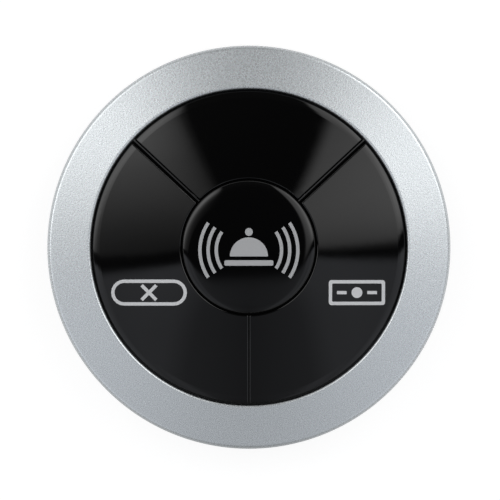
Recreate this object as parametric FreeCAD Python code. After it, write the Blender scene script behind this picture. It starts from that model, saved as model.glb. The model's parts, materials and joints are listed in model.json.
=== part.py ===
"""Round table-top call button with three keys, a lamp panel and a silver bezel.

Millimetres, +Z up. The origin is the middle of the footprint, on the surface that the feet stand on.
+Y points to the lamp panel. Angles are in degrees, counter-clockwise from +X.
"""
import FreeCAD, Part
import math
import os

from FreeCAD import Vector

# ---------------------------------------------------------------- overall
body_radius = 37.5            # widest radius, at the foot of the bezel's side
crown_rise = 6.0              # crest of the centre key above the deck's underside
foot_stand = 0.8              # the feet hold the base this far off the surface
facet_step = 0.05             # small clearance between faces that only just touch
root_sink = 0.2               # an added rib, boss or hook starts this deep in the wall that carries it
cut_margin = 1.0              # a cut runs this far past the face that it opens

# ---------------------------------------------------------------- crown of keys
centre_key_radius = 12.2
centre_key_dome_radius = 470.0
centre_key_shoulder = 1.02    # width of the steeper band round the dome
centre_key_shoulder_slope = 15.0                           # fall of the face at its rim, degrees
centre_key_shoulder_round = 6.0
centre_key_edge_round = 0.3
centre_gap = 0.28             # between the centre key and the sector keys
crown_step = 0.8              # centre key's crest above the sector keys' inner edge
crown_slope_inner = 5.0       # fall of the sector keys at their inner edge, degrees
crown_slope_outer = 6.6       # and towards their outer edge
key_shoulder = 0.9            # width of the steeper band at the outer edge
key_shoulder_slope = 15.0     # its fall, degrees
key_shoulder_round = 6.0
key_inner_round = 0.32
key_outer_round = 0.35
key_groove_round = 0.3        # beside a divider
key_split_round = 0.25        # where the two side keys meet
panel_side_round = 0.12
key_gap = 0.38                # between the keys and the bezel
key_face_wall = 1.5
key_skirt_wall = 1.2
key_inside_round = 0.5
panel_start_angle = 43.0      # the lamp panel spans the top of the crown
panel_end_angle = 137.0
split_angle = 270.0           # the two side keys meet here
split_gap = 0.10
divider_width = 0.5           # fixed rib beside the lamp panel
divider_drop = 0.35           # its top lies this far under the crown
divider_key_gap = 0.37
divider_panel_gap = 0.06
divider_round = 0.2
divider_end_gap = 0.1         # between a divider's outer end and the bezel's bore

# ---------------------------------------------------------------- bezel
bezel_bore_radius = 29.26
bezel_proud = 0.30            # bezel's inner edge above the keys' outer edge
bezel_slope = 7.0             # fall of the bezel's face, degrees
bezel_outer_round = 1.1
bezel_inner_round = 0.4
bezel_draft = 0.25            # the side is this much narrower at the top
bezel_wall = 1.6              # under the face
bezel_side_wall = 2.1         # at the foot of the side
bezel_bore_wall = 1.2
bezel_hook_count = 6
bezel_hook_start = 15.0       # angle of the first hook, degrees
bezel_hook_width = 5.0
bezel_hook_reach = 0.5
bezel_hook_height = 0.9
bezel_key_count = 3           # stops that keep the bezel from turning on the deck
bezel_key_start = 60.0        # angle of the first stop, degrees
bezel_key_width = 3.0
bezel_key_depth = 1.1
bezel_key_lift = 0.2          # lower end of a stop above the deck's underside
bezel_key_clearance = 0.1

# ---------------------------------------------------------------- base and parting line
base_bottom_inset = 1.9       # the base is this much narrower than the bezel at its underside
base_top_inset = 0.6          # and at the parting line
base_bottom_round = 1.0
base_floor = 1.6
base_wall = 2.4
parting_height = 7.1          # top of the base's outer wall
parting_gap = 0.3             # shadow line under the bezel
lip_height = 1.5
lip_wall = 1.2
lip_bevel = 0.3
lip_clearance = 0.2

# ---------------------------------------------------------------- deck under the keys
deck_thickness = 1.2
housing_wall = 1.2
flange_clearance = 0.2        # between the deck's rim and the bezel's inside

# ---------------------------------------------------------------- key guidance
key_travel = 0.5
stop_clearance = 0.05         # left between skirt and deck at full travel
guide_pin_radius = 1.1
guide_clearance = 0.06
guide_boss_wall = 1.0
guide_boss_depth = 1.6
guide_pin_overhang = 1.0      # how far a pin reaches below its boss's mouth in the deck
actuator_radius = 1.6
actuator_hole_clearance = 0.35
actuator_free_play = 0.22     # between an actuator and its switch button at rest
actuator_rib_width = 0.8
actuator_rib_reach = 5.0
hook_width = 3.2
hook_thickness = 1.1
hook_barb = 0.6
hook_height = 0.85
hook_slot_clearance = 0.3
centre_hook_orbit = 8.8
centre_hook_angles = (90.0, 210.0, 330.0)
centre_pin_angles = (30.0, 150.0, 270.0)
side_pins = ((24.5, 147.0), (26.0, 214.0))                 # radius and angle, left key
side_outer_hooks = ((26.1, 160.0), (26.1, 203.0))
side_inner_hooks = ((14.7, 176.0), (14.7, 218.0))
side_switch_orbit = 20.5

# ---------------------------------------------------------------- screws, feet
case_screw_orbit = 30.4
case_screw_angles = (0.0, 90.0, 180.0, 270.0)
case_screw_radius = 1.15
case_screw_length = 8.0
case_head_radius = 2.1
case_head_height = 1.5
case_head_recess = 2.6        # depth of the counterbore under the head's seat
case_column_radius = 3.4
case_boss_radius = 2.7
column_height = 6.0           # where the base's columns meet the housing's bosses
screw_clearance = 0.02        # a thread's crest to its moulded hole
screw_end_room = 0.5          # hole left beyond a screw's tip
head_clearance = 0.3
recess_drive_radius = 0.8
recess_drive_depth = 0.7
foot_radius = 3.5
foot_thickness = 1.4
foot_pocket_clearance = 0.1
foot_edge_bevel = 0.3
feet_places = ((21.2, 21.2), (-21.2, 21.2), (25.4, -16.5), (-25.4, -16.5))

# ---------------------------------------------------------------- battery, its bay and door
battery_radius = 5.15
battery_length = 28.5
battery_nub_radius = 2.0
battery_nub_height = 0.8
battery_edge_bevel = 0.4
battery_door_gap = 0.3        # between the battery and the door's inner face
battery_deck_gap = 0.1        # between the battery and the deck over it
bay_centre_y = -19.2
bay_half_width = 5.6
bay_half_length = 17.3
bay_wall = 1.4
bay_top_gap = 0.3             # between the bay's walls and the deck
latch_bay = 2.8               # room for the door's latch beyond the bay's end wall
door_thickness = 1.5
door_clearance = 0.25
hinge_barrel_radius = 1.1
hinge_pin_radius = 0.7
hinge_pin_clearance = 0.05
hinge_pin_length = 0.9
hinge_pin_end_gap = 0.15
hinge_relief = 0.30           # between the hinge barrel and the floor's edge
latch_width = 6.0
latch_side_gap = 0.5          # nail slot beyond each side of the latch
latch_thickness = 0.75
latch_height = 2.3
latch_inset = 1.2             # depth of the nail slot in front of the latch
latch_barb = 0.25             # reach of the barb over the base's floor
latch_barb_height = 0.7
grip_count = 3                # grooves that mark the end of the door that opens
grip_first = 3.0              # from the latch to the first groove's middle
grip_pitch = 1.6
grip_width = 0.8
grip_length = 7.0
grip_depth = 0.35
contact_thickness = 0.4
contact_width = 7.6
contact_height = 8.4
contact_tab_width = 2.0
contact_tab_offset = 3.2      # from the battery's axis, towards the middle of the board
contact_tab_reach = 3.4
contact_tab_clearance = 0.2
spring_wire = 0.6
spring_turns = 3
spring_large_radius = 3.4
spring_small_radius = 2.2
spring_weld = 0.1             # depth of the coil's first turn in the blade
wire_sides = 6                # coils are drawn with six-sided wire

# ---------------------------------------------------------------- circuit board
board_top = 7.6
board_thickness = 1.6
board_radius = 27.4
board_notch_clearance = 0.4
post_radius = 2.2
post_places = ((25.0, 0.0), (-25.0, 0.0), (0.0, 17.0))
board_screw_radius = 1.0
board_screw_length = 5.5
board_head_radius = 1.8
board_head_height = 1.2
board_hole_clearance = 0.2
switch_width = 6.0
switch_cup_height = 3.2
switch_cover = 0.3
rivet_inset = 0.75            # from the cover's sides
rivet_radius = 0.4
rivet_height = 0.2
switch_corner = 0.6
switch_cavity_radius = 2.35
switch_cavity_floor = 0.8
button_radius = 1.75
button_flange_radius = 2.2
button_flange_height = 1.2
button_clearance = 0.06
button_rise = 0.8             # button above the cover at rest
button_bevel = 0.2
button_travel = 0.3
pin_shoulder = 1.2            # where a leg leaves the switch, above the board
pin_width = 0.7
pin_thickness = 0.3
pin_spread_x = 6.5
pin_spread_y = 4.5
pin_below_board = 0.9
pin_hole_radius = 0.5
lamp_place = (0.0, 24.0)
lamp_radius = 1.5
lamp_flange_radius = 1.9
lamp_flange_height = 1.0
lamp_stand = 2.8              # flange above the board
lamp_body = 4.6               # flange's foot to the top of its dome
lamp_lead_spread = 2.54
lamp_lead_width = 0.5
lamp_tip_flat = 0.1
lamp_hole_clearance = 0.25    # in the deck
lamp_shroud_clearance = 0.6   # in the panel
lamp_shroud_wall = 0.8
lamp_window = 0.7             # thinned face over the lamp
panel_peg_radius = 1.0
panel_peg_head_radius = 1.6
panel_peg_head = 0.6
panel_post_wall = 0.8         # post round each peg, from the face to the deck
panel_pegs = ((20.0, 62.0), (20.0, 118.0))
chip_size = (4.9, 3.9, 1.5)
chip_place = (-9.5, 7.5)
chip_pin_pitch = 1.27
chip_pin_count = 4            # on each side
chip_pin = (0.4, 0.2, 0.8)    # width, thickness and height of its knee
chip_pin_reach = 1.1          # from the chip's side to the toe
chip_lift = 0.15
transistor_size = (2.9, 1.3, 1.0)
transistor_place = (9.0, -7.6)
transistor_pins = ((-0.95, -1), (0.95, -1), (0.0, 1))      # place along the body, and side
transistor_pin = (0.4, 0.15, 0.5)
transistor_pin_reach = 0.6
transistor_lift = 0.1
can_radius = 4.65
can_height = 3.2
can_brim = 0.6
can_bevel = 0.4
can_place = (12.5, 12.0)
capacitor_size = (2.0, 1.25, 0.9)
capacitor_places = ((4.5, 8.0, 0.0), (-4.0, 12.5, 90.0), (18.5, 3.5, 90.0), (6.5, -10.0, 0.0))
resistor_size = (2.0, 1.25, 0.55)
resistor_places = ((-14.5, 3.0, 90.0), (-7.0, -8.0, 0.0), (9.5, 3.5, 0.0), (-16.8, 3.0, 90.0))
antenna_start = (-18.0, 15.6)
antenna_angle = 31.0
antenna_wire = 0.8
antenna_coil_radius = 1.7
antenna_pitch = 1.5
antenna_turns = 7
antenna_lift = 0.3            # coil above the board

# ---------------------------------------------------------------- worked out from the above
base_bottom_radius = body_radius - base_bottom_inset
base_top_radius = body_radius - base_top_inset
base_underside = foot_stand
battery_axis_z = base_underside + door_thickness + battery_door_gap + battery_radius
deck_bottom = battery_axis_z + battery_radius + battery_deck_gap
overall_height = deck_bottom + crown_rise
deck_top = deck_bottom + deck_thickness
skirt_bottom = deck_top + key_travel + stop_clearance
sector_inner = centre_key_radius + centre_gap
sector_outer = bezel_bore_radius - key_gap
crown_top = overall_height - crown_step
floor_top = base_underside + base_floor
bezel_foot = parting_height + parting_gap
bezel_inside = body_radius - bezel_side_wall
flange_radius = bezel_inside - flange_clearance
lip_outer = bezel_inside - lip_clearance
lip_inner = lip_outer - lip_wall
housing_outer = lip_inner - lip_clearance
housing_inner = housing_outer - housing_wall
panel_groove_offset = divider_width / 2.0 + divider_panel_gap
key_groove_offset = divider_width / 2.0 + divider_key_gap
board_bottom = board_top - board_thickness
cover_top = board_top + switch_cup_height + switch_cover
button_top = cover_top + button_rise
actuator_tip = button_top + actuator_free_play
bay_end = bay_half_length + bay_wall
door_opening_end = bay_end + latch_bay
bay_top = deck_bottom - bay_top_gap
side_switch_angle = (panel_end_angle + split_angle) / 2.0
hinge_x = -bay_half_length + hinge_relief + hinge_barrel_radius
hinge_z = base_underside + hinge_barrel_radius
battery_plus_x = bay_half_length - contact_thickness
battery_minus_x = battery_plus_x - battery_length
Z_AXIS = Vector(0, 0, 1)
X_AXIS = Vector(1, 0, 0)
Y_AXIS = Vector(0, 1, 0)


# ================================================================ helpers
def polar(radius, angle):
    """The x and y of a point at a radius and an angle in degrees."""
    turn = math.radians(angle)
    return radius * math.cos(turn), radius * math.sin(turn)


def crown_height_at(radius):
    """Height of the sector keys' face at a radius, less their shoulder: a slope that steepens outward."""
    inner = math.tan(math.radians(crown_slope_inner))
    outer = math.tan(math.radians(crown_slope_outer))
    along = radius - sector_inner
    bend = (outer - inner) / (2.0 * (sector_outer - sector_inner))
    return crown_top - inner * along - bend * along ** 2


def profile_face(corners):
    """A face in the XZ plane from (r, z, round) corners, each rounded by a tangent arc."""
    points = [Vector(r, 0, z) for r, z, _ in corners]
    starts, ends, arcs = [], [], []
    for i, corner in enumerate(points):
        back = points[i - 1] - corner
        on = points[(i + 1) % len(points)] - corner
        radius = corners[i][2]
        if radius <= 0:
            starts.append(corner)
            ends.append(corner)
            arcs.append(None)
            continue
        back.normalize()
        on.normalize()
        half = back.getAngle(on) / 2.0
        reach = radius / math.tan(half)
        middle = back + on
        middle.normalize()
        centre = corner + middle * (radius / math.sin(half))
        starts.append(corner + back * reach)
        ends.append(corner + on * reach)
        arcs.append(centre - middle * radius)
    edges = []
    for i in range(len(points)):
        if arcs[i] is not None:
            edges.append(Part.Arc(starts[i], arcs[i], ends[i]).toShape())
        following = starts[(i + 1) % len(points)]
        if ends[i].distanceToPoint(following) > 1e-6:
            edges.append(Part.LineSegment(ends[i], following).toShape())
    return Part.Face(Part.Wire(edges))


def turned(corners):
    """A solid turned about Z from (r, z, round) corners."""
    return profile_face(corners).revolve(Vector(0, 0, 0), Z_AXIS, 360)


def disc(radius, low, high, place=(0.0, 0.0)):
    """An upright cylinder between two heights."""
    return Part.makeCylinder(radius, high - low, Vector(place[0], place[1], low), Z_AXIS)


def block(x_range, y_range, z_range):
    """A box between pairs of coordinates."""
    corner = Vector(x_range[0], y_range[0], z_range[0])
    return Part.makeBox(x_range[1] - x_range[0], y_range[1] - y_range[0], z_range[1] - z_range[0], corner)


def centred_block(size, place, low, angle=0.0):
    """A box of size (x, y, z) standing on a height, turned about its own upright axis."""
    box = Part.makeBox(size[0], size[1], size[2], Vector(-size[0] / 2.0, -size[1] / 2.0, low))
    box.rotate(Vector(0, 0, 0), Z_AXIS, angle)
    box.translate(Vector(place[0], place[1], 0))
    return box


def sector(start, end, start_offset, end_offset, low, high):
    """A wedge between two radial directions, each side moved in by an offset."""
    turn_start, turn_end = math.radians(start), math.radians(end)
    along_start = Vector(math.cos(turn_start), math.sin(turn_start), 0)
    along_end = Vector(math.cos(turn_end), math.sin(turn_end), 0)
    side_start = Vector(-along_start.y, along_start.x, 0)
    side_end = Vector(along_end.y, -along_end.x, 0)
    spread = side_start.x * side_end.y - side_start.y * side_end.x
    apex = Vector(
        (start_offset * side_end.y - end_offset * side_start.y) / spread,
        (end_offset * side_start.x - start_offset * side_end.x) / spread,
        low,
    )
    far = 2.0 * body_radius
    half_turn = (turn_start + turn_end) / 2.0
    middle = apex + Vector(math.cos(half_turn), math.sin(half_turn), 0) * far * 2.0
    outline = [apex, apex + along_start * far, middle, apex + along_end * far, apex]
    return Part.Face(Part.makePolygon(outline)).extrude(Vector(0, 0, high - low))


def crown_ring(inner, outer, drop, low, inner_round=0.0, outer_round=0.0, shoulder=0.0):
    """A turned ring whose top follows the crown at a drop below it, with a steeper shoulder if wanted."""
    middle = (inner + outer) / 2.0
    z_inner = crown_height_at(inner) - drop
    z_outer = crown_height_at(outer) - drop
    slope = (crown_height_at(inner + 1e-4) - crown_height_at(inner)) / 1e-4
    z_middle = z_inner + slope * (middle - inner)
    bend = math.tan(math.radians(crown_slope_outer)) - math.tan(math.radians(crown_slope_inner))
    curve = 0.8 * (sector_outer - sector_inner) / bend
    top = [(inner, z_inner, inner_round), (middle, z_middle, curve)]
    if shoulder > 0:
        z_bend = z_outer + math.tan(math.radians(crown_slope_outer)) * shoulder
        top.append((outer - shoulder, z_bend, key_shoulder_round))
        z_outer = z_bend - math.tan(math.radians(key_shoulder_slope)) * shoulder
    top.append((outer, z_outer, outer_round))
    return turned(top + [(outer, low, 0), (inner, low, 0)])


def around(shape, count, start=0.0):
    """Copies of a shape, evenly spaced about Z."""
    copies = []
    for i in range(count):
        copy = shape.copy()
        copy.rotate(Vector(0, 0, 0), Z_AXIS, start + i * 360.0 / count)
        copies.append(copy)
    return copies


def mirrored(shape):
    """The same shape on the other side of the YZ plane."""
    return shape.mirror(Vector(0, 0, 0), X_AXIS)


def radial_block(radius, thickness, width, low, high, angle):
    """A box whose thickness runs outward from a radius, turned to an angle."""
    box = block((radius, radius + thickness), (-width / 2.0, width / 2.0), (low, high))
    box.rotate(Vector(0, 0, 0), Z_AXIS, angle)
    return box


def snap_hook(radius, angle, root, outward):
    """A leg with a wedge-shaped barb that catches under the deck."""
    leg_bottom = deck_bottom - facet_step - hook_height
    leg = block((0, hook_thickness), (-hook_width / 2.0, hook_width / 2.0), (leg_bottom, root))
    side = hook_thickness if outward else 0.0
    reach = hook_barb if outward else -hook_barb
    barb_top = deck_bottom - facet_step
    wedge = Part.makePolygon([
        Vector(side, -hook_width / 2.0, barb_top),
        Vector(side + reach, -hook_width / 2.0, barb_top),
        Vector(side + reach, -hook_width / 2.0, barb_top - hook_height * 0.3),
        Vector(side, -hook_width / 2.0, leg_bottom),
        Vector(side, -hook_width / 2.0, barb_top),
    ])
    hook = leg.fuse(Part.Face(wedge).extrude(Vector(0, hook_width, 0)))
    hook.translate(Vector(radius, 0, 0))
    hook.rotate(Vector(0, 0, 0), Z_AXIS, angle)
    return hook


def hook_slot(radius, angle, outward):
    """The slot in the deck that a snap hook passes and springs back into."""
    margin = hook_slot_clearance
    low_side = radius - margin - (0.0 if outward else hook_barb)
    depth = hook_thickness + 2.0 * margin + hook_barb
    width = hook_width + 2.0 * margin
    return radial_block(low_side, depth, width, deck_bottom - cut_margin, deck_top + cut_margin, angle)


def side_edges(shape, angle, offset, turn, above):
    """Edges on one groove face of a sector key, apart from the bottom one.

    The face lies at an offset from the radial direction of the angle, and turn is 1 where the key
    starts there and -1 where it ends.
    """
    along = math.radians(angle)
    chosen = []
    for edge in shape.Edges:
        middle = edge.valueAt((edge.FirstParameter + edge.LastParameter) / 2.0)
        distance = turn * (middle.y * math.cos(along) - middle.x * math.sin(along))
        if middle.z > above + 1e-3 and abs(distance - offset) < 1e-4:
            chosen.append(edge)
    return chosen


def sector_cap(start, end, low):
    """A hollow cap: a piece of the crown with a face wall and a skirt all round.

    start and end are (angle, offset of the groove face, round of its edges).
    """
    start_angle, start_offset, start_round = start
    end_angle, end_offset, end_round = end
    body = crown_ring(
        sector_inner, sector_outer, 0.0, low, key_inner_round, key_outer_round, key_shoulder)
    inside_low = low - cut_margin
    body = body.common(sector(start_angle, end_angle, start_offset, end_offset, inside_low, overall_height))
    body = body.makeFillet(start_round, side_edges(body, start_angle, start_offset, 1, low))
    body = body.makeFillet(end_round, side_edges(body, end_angle, end_offset, -1, low))
    skirt = key_skirt_wall
    core = crown_ring(sector_inner + skirt, sector_outer - skirt, key_face_wall, inside_low)
    core = core.common(
        sector(start_angle, end_angle, start_offset + skirt, end_offset + skirt, inside_low, overall_height))
    return body.cut(core)


def inside_crown(shape, drop):
    """Trims what stands inside a cap to the space below its face."""
    return shape.common(crown_ring(sector_inner, sector_outer, drop, board_bottom))


def screw(radius, length, head_radius, head_height, place, seat):
    """A pan-head screw driven upward: its head hangs below the seat."""
    shank = disc(radius, seat, seat + length - radius, place)
    tip_foot = Vector(place[0], place[1], seat + length - radius)
    tip = Part.makeCone(radius, radius * 0.3, radius, tip_foot)
    chamfer = head_height * 0.35
    head = turned([
        (0, seat - head_height, 0),
        (head_radius - chamfer, seat - head_height, 0),
        (head_radius, seat - head_height + chamfer, 0),
        (head_radius, seat, 0),
        (0, seat, 0),
    ])
    head.translate(Vector(place[0], place[1], 0))
    face = seat - head_height
    drive = disc(recess_drive_radius, face - cut_margin, face + recess_drive_depth, place)
    return head.fuse([shank, tip]).cut(drive).removeSplitter()


# ================================================================ shell pieces
def make_bezel_ring():
    """Silver ring: conical face, rounded edges, drafted side, snap hooks and turning stops inside."""
    edge_height = crown_height_at(sector_outer) + bezel_proud
    slope = math.tan(math.radians(bezel_slope))
    top_radius = body_radius - bezel_draft
    shoulder = edge_height - slope * (top_radius - bezel_bore_radius)
    bore_back = bezel_bore_radius + bezel_bore_wall
    under_inner = edge_height - bezel_wall - slope * bezel_bore_wall
    under_outer = edge_height - bezel_wall - slope * (bezel_inside - bezel_bore_radius)
    ring = turned([
        (bezel_bore_radius, edge_height, bezel_inner_round),
        (top_radius, shoulder, bezel_outer_round),
        (body_radius, bezel_foot, 0),
        (bezel_inside, bezel_foot, 0),
        (bezel_inside, under_outer, 0),
        (bore_back, under_inner, 0),
        (bore_back, deck_top, 0),
        (bezel_bore_radius, deck_top, 0),
    ])
    barb_top = deck_bottom - facet_step
    wedge = Part.makePolygon([
        Vector(bezel_inside + root_sink, -bezel_hook_width / 2.0, barb_top),
        Vector(flange_radius - bezel_hook_reach, -bezel_hook_width / 2.0, barb_top),
        Vector(bezel_inside, -bezel_hook_width / 2.0, barb_top - bezel_hook_height),
        Vector(bezel_inside + root_sink, -bezel_hook_width / 2.0, barb_top - bezel_hook_height),
        Vector(bezel_inside + root_sink, -bezel_hook_width / 2.0, barb_top),
    ])
    hook = Part.Face(wedge).extrude(Vector(0, bezel_hook_width, 0))
    stop = radial_block(
        bezel_inside - bezel_key_depth, bezel_key_depth + root_sink, bezel_key_width,
        deck_bottom + bezel_key_lift, under_outer + root_sink, 0)
    additions = around(hook, bezel_hook_count, bezel_hook_start)
    additions += around(stop, bezel_key_count, bezel_key_start)
    return ring.fuse(additions).removeSplitter()


def make_base_housing():
    """Black tray with the joint lip, screw columns, foot pockets and the battery bay."""
    tray = turned([
        (0, base_underside, 0),
        (base_bottom_radius, base_underside, base_bottom_round),
        (base_top_radius, parting_height, 0),
        (lip_outer, parting_height, 0),
        (lip_outer, parting_height + lip_height - lip_bevel, 0),
        (lip_outer - lip_bevel, parting_height + lip_height, 0),
        (lip_inner, parting_height + lip_height, 0),
        (lip_inner, parting_height - lip_height, 0),
        (base_bottom_radius - base_wall, floor_top, 0),
        (0, floor_top, 0),
    ])
    bay_low = bay_centre_y - bay_half_width
    bay_high = bay_centre_y + bay_half_width
    bay_outer = block(
        (-bay_end, bay_end), (bay_low - bay_wall, bay_high + bay_wall), (floor_top - root_sink, bay_top))
    latch_walls = block(
        (bay_end - root_sink, door_opening_end), (bay_low - bay_wall, bay_high + bay_wall),
        (floor_top - root_sink, floor_top + bay_wall))
    columns = [
        disc(case_column_radius, floor_top - root_sink, column_height, polar(case_screw_orbit, angle))
        for angle in case_screw_angles
    ]
    inside = disc((lip_inner + lip_outer) / 2.0, base_underside, deck_bottom)
    added = bay_outer.fuse([latch_walls] + columns).common(inside)
    body = tray.fuse(added)

    cuts = [
        block((-bay_half_length, bay_half_length), (bay_low, bay_high), (0, deck_bottom)),
        block((-bay_half_length, door_opening_end), (bay_low, bay_high),
              (0, base_underside + door_thickness + battery_door_gap)),
        block((bay_end, door_opening_end), (bay_low, bay_high), (0, deck_bottom)),
    ]
    pin_reach = bay_half_width - door_clearance + hinge_pin_length + hinge_pin_end_gap
    cuts.append(Part.makeCylinder(
        hinge_pin_radius + hinge_pin_clearance, 2.0 * pin_reach,
        Vector(hinge_x, bay_centre_y - pin_reach, hinge_z), Y_AXIS))
    tab_y = bay_centre_y + contact_tab_offset
    tab_half = contact_tab_width / 2.0 + contact_tab_clearance
    tab_room = bay_end + cut_margin
    cuts.append(block((-tab_room, tab_room), (tab_y - tab_half, tab_y + tab_half), (board_top, deck_bottom)))
    seat = base_underside + case_head_recess
    for angle in case_screw_angles:
        place = polar(case_screw_orbit, angle)
        cuts.append(disc(case_head_radius + head_clearance, 0, seat, place))
        cuts.append(disc(case_screw_radius + board_hole_clearance, 0, column_height + cut_margin, place))
    for place in feet_places:
        cuts.append(disc(foot_radius + foot_pocket_clearance, 0, foot_thickness, place))
    return body.cut(cuts).removeSplitter()


def make_battery_door():
    """Door in the underside: a plate with a hinge barrel, pins, a nail slot and a spring latch."""
    low = bay_centre_y - bay_half_width + door_clearance
    high = bay_centre_y + bay_half_width - door_clearance
    end = door_opening_end - door_clearance
    top = base_underside + door_thickness
    plate = block((hinge_x, end), (low, high), (base_underside, top))
    barrel = Part.makeCylinder(hinge_barrel_radius, high - low, Vector(hinge_x, low, hinge_z), Y_AXIS)
    pin = Part.makeCylinder(
        hinge_pin_radius, high - low + 2.0 * hinge_pin_length,
        Vector(hinge_x, low - hinge_pin_length, hinge_z), Y_AXIS)
    tongue_outer = end - latch_inset
    latch_low = bay_centre_y - latch_width / 2.0
    slot = block(
        (tongue_outer, end + cut_margin),
        (latch_low - latch_side_gap, latch_low + latch_width + latch_side_gap), (0, top + cut_margin))
    tongue = block(
        (tongue_outer - latch_thickness, tongue_outer), (latch_low, latch_low + latch_width),
        (base_underside, top + latch_height))
    barb_low = floor_top + facet_step
    tip = door_opening_end + latch_barb
    barb_outline = Part.makePolygon([
        Vector(tongue_outer, latch_low, barb_low),
        Vector(tip, latch_low, barb_low),
        Vector(tip, latch_low, barb_low + latch_barb_height * 0.4),
        Vector(tongue_outer, latch_low, barb_low + latch_barb_height * 1.6),
        Vector(tongue_outer, latch_low, barb_low),
    ])
    barb = Part.Face(barb_outline).extrude(Vector(0, latch_width, 0))
    door = plate.fuse([barrel, pin]).cut(slot).fuse([tongue, barb])
    grooves = []
    for i in range(grip_count):
        middle = (tongue_outer - grip_first - grip_pitch * i, bay_centre_y)
        grooves.append(centred_block((grip_width, grip_length, base_underside + grip_depth), middle, 0))
    return door.cut(grooves).removeSplitter()


def make_feet():
    """Four rubber discs, glued in the base's pockets."""
    feet = []
    for place in feet_places:
        foot = turned([
            (0, 0, 0),
            (foot_radius - foot_edge_bevel, 0, 0),
            (foot_radius, foot_edge_bevel, 0),
            (foot_radius, foot_thickness, 0),
            (0, foot_thickness, 0),
        ])
        foot.translate(Vector(place[0], place[1], 0))
        feet.append(foot)
    return Part.makeCompound(feet)


def make_case_screws():
    """Screws from below, through the base's columns into the housing's bosses."""
    seat = base_underside + case_head_recess
    return Part.makeCompound([
        screw(case_screw_radius, case_screw_length, case_head_radius, case_head_height,
              polar(case_screw_orbit, angle), seat)
        for angle in case_screw_angles
    ])


def make_upper_housing():
    """Deck under the keys, with outer wall, bosses, guides, slots and the two divider ribs."""
    shell = turned([
        (0, deck_bottom, 0),
        (housing_inner, deck_bottom, 0),
        (housing_inner, bezel_foot, 0),
        (housing_outer, bezel_foot, 0),
        (housing_outer, deck_bottom, 0),
        (flange_radius, deck_bottom, 0),
        (flange_radius, deck_top, 0),
        (0, deck_top, 0),
    ])
    additions = []
    for angle in case_screw_angles:
        place = polar(case_screw_orbit, angle)
        boss = disc(case_boss_radius, column_height + facet_step, deck_bottom + root_sink, place)
        additions.append(boss.common(disc(housing_outer, 0, deck_top)))
    for place in post_places:
        additions.append(disc(post_radius, board_top, deck_bottom + root_sink, place))
    pins = guide_places()
    for place in pins:
        additions.append(disc(
            guide_pin_radius + guide_clearance + guide_boss_wall,
            deck_bottom - guide_boss_depth, deck_bottom + root_sink, place))
    divider_low = deck_top - root_sink
    divider = crown_ring(sector_inner, bezel_bore_radius - divider_end_gap, divider_drop, divider_low)
    for angle in (panel_start_angle, panel_end_angle):
        strip = radial_block(0, body_radius, divider_width, divider_low, overall_height, angle)
        rib = divider.common(strip)
        crests = side_edges(rib, angle, divider_width / 2.0, 1, divider_low + root_sink)
        crests += side_edges(rib, angle, divider_width / 2.0, -1, divider_low + root_sink)
        crests = [edge for edge in crests if edge.Length > hook_width]
        additions.append(rib.makeFillet(divider_round, crests))
    housing = shell.fuse(additions)

    cuts = []
    for angle in case_screw_angles:
        cuts.append(disc(
            case_screw_radius + screw_clearance, column_height - cut_margin,
            base_underside + case_head_recess + case_screw_length + screw_end_room,
            polar(case_screw_orbit, angle)))
    for place in post_places:
        cuts.append(disc(
            board_screw_radius + screw_clearance, board_top - cut_margin,
            board_bottom + board_screw_length + screw_end_room, place))
    for place in pins:
        cuts.append(disc(guide_pin_radius + guide_clearance, board_top, deck_top + cut_margin, place))
    for place in switch_places().values():
        cuts.append(disc(actuator_radius + actuator_hole_clearance, board_top, deck_top + cut_margin, place))
    for angle in centre_hook_angles:
        cuts.append(hook_slot(centre_hook_orbit, angle, False))
    for hooks, outward in ((side_outer_hooks, False), (side_inner_hooks, True)):
        for radius, angle in hooks:
            slot = hook_slot(radius, angle, outward)
            cuts.append(slot)
            cuts.append(mirrored(slot))
    above = deck_top + cut_margin
    cuts.append(disc(lamp_radius + lamp_hole_clearance, board_top, above, lamp_place))
    for radius, angle in panel_pegs:
        cuts.append(disc(panel_peg_radius + facet_step, board_top, above, polar(radius, angle)))
    notch = radial_block(
        bezel_inside - bezel_key_depth - bezel_key_clearance, bezel_key_depth + cut_margin,
        bezel_key_width + 2.0 * bezel_key_clearance, deck_bottom - cut_margin, above, 0)
    cuts.extend(around(notch, bezel_key_count, bezel_key_start))
    return housing.cut(cuts).removeSplitter()


def make_top_panel():
    """Fixed lamp panel: same crown as the keys, seated on the deck by two staked pegs."""
    panel = sector_cap(
        (panel_start_angle, panel_groove_offset, panel_side_round),
        (panel_end_angle, panel_groove_offset, panel_side_round), deck_top)
    lamp_room = lamp_radius + lamp_shroud_clearance
    additions = [disc(lamp_room + lamp_shroud_wall, deck_top, overall_height, lamp_place)]
    pegs = []
    for radius, angle in panel_pegs:
        place = polar(radius, angle)
        additions.append(disc(panel_peg_radius + panel_post_wall, deck_top, overall_height, place))
        pegs.append(disc(panel_peg_radius, deck_bottom - facet_step, deck_top + root_sink, place))
        pegs.append(disc(panel_peg_head_radius, deck_bottom - facet_step - panel_peg_head,
                         deck_bottom - facet_step, place))
    standing = inside_crown(Part.makeCompound(additions), key_face_wall * 0.5)
    panel = panel.fuse(standing.Solids + pegs)
    window_top = crown_height_at(lamp_place[1]) - lamp_window
    return panel.cut(disc(lamp_room, deck_top - cut_margin, window_top, lamp_place)).removeSplitter()


# ================================================================ keys
def switch_places():
    """Where the three switches stand, and so the keys' actuators."""
    left = polar(side_switch_orbit, side_switch_angle)
    return {"centre": (0.0, 0.0), "left": left, "right": (-left[0], left[1])}


def guide_places():
    """Where all guide pins run in the deck."""
    left = [polar(radius, angle) for radius, angle in side_pins]
    right = [(-x, y) for x, y in left]
    centre = [polar(centre_hook_orbit, angle) for angle in centre_pin_angles]
    return left + right + centre


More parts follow.
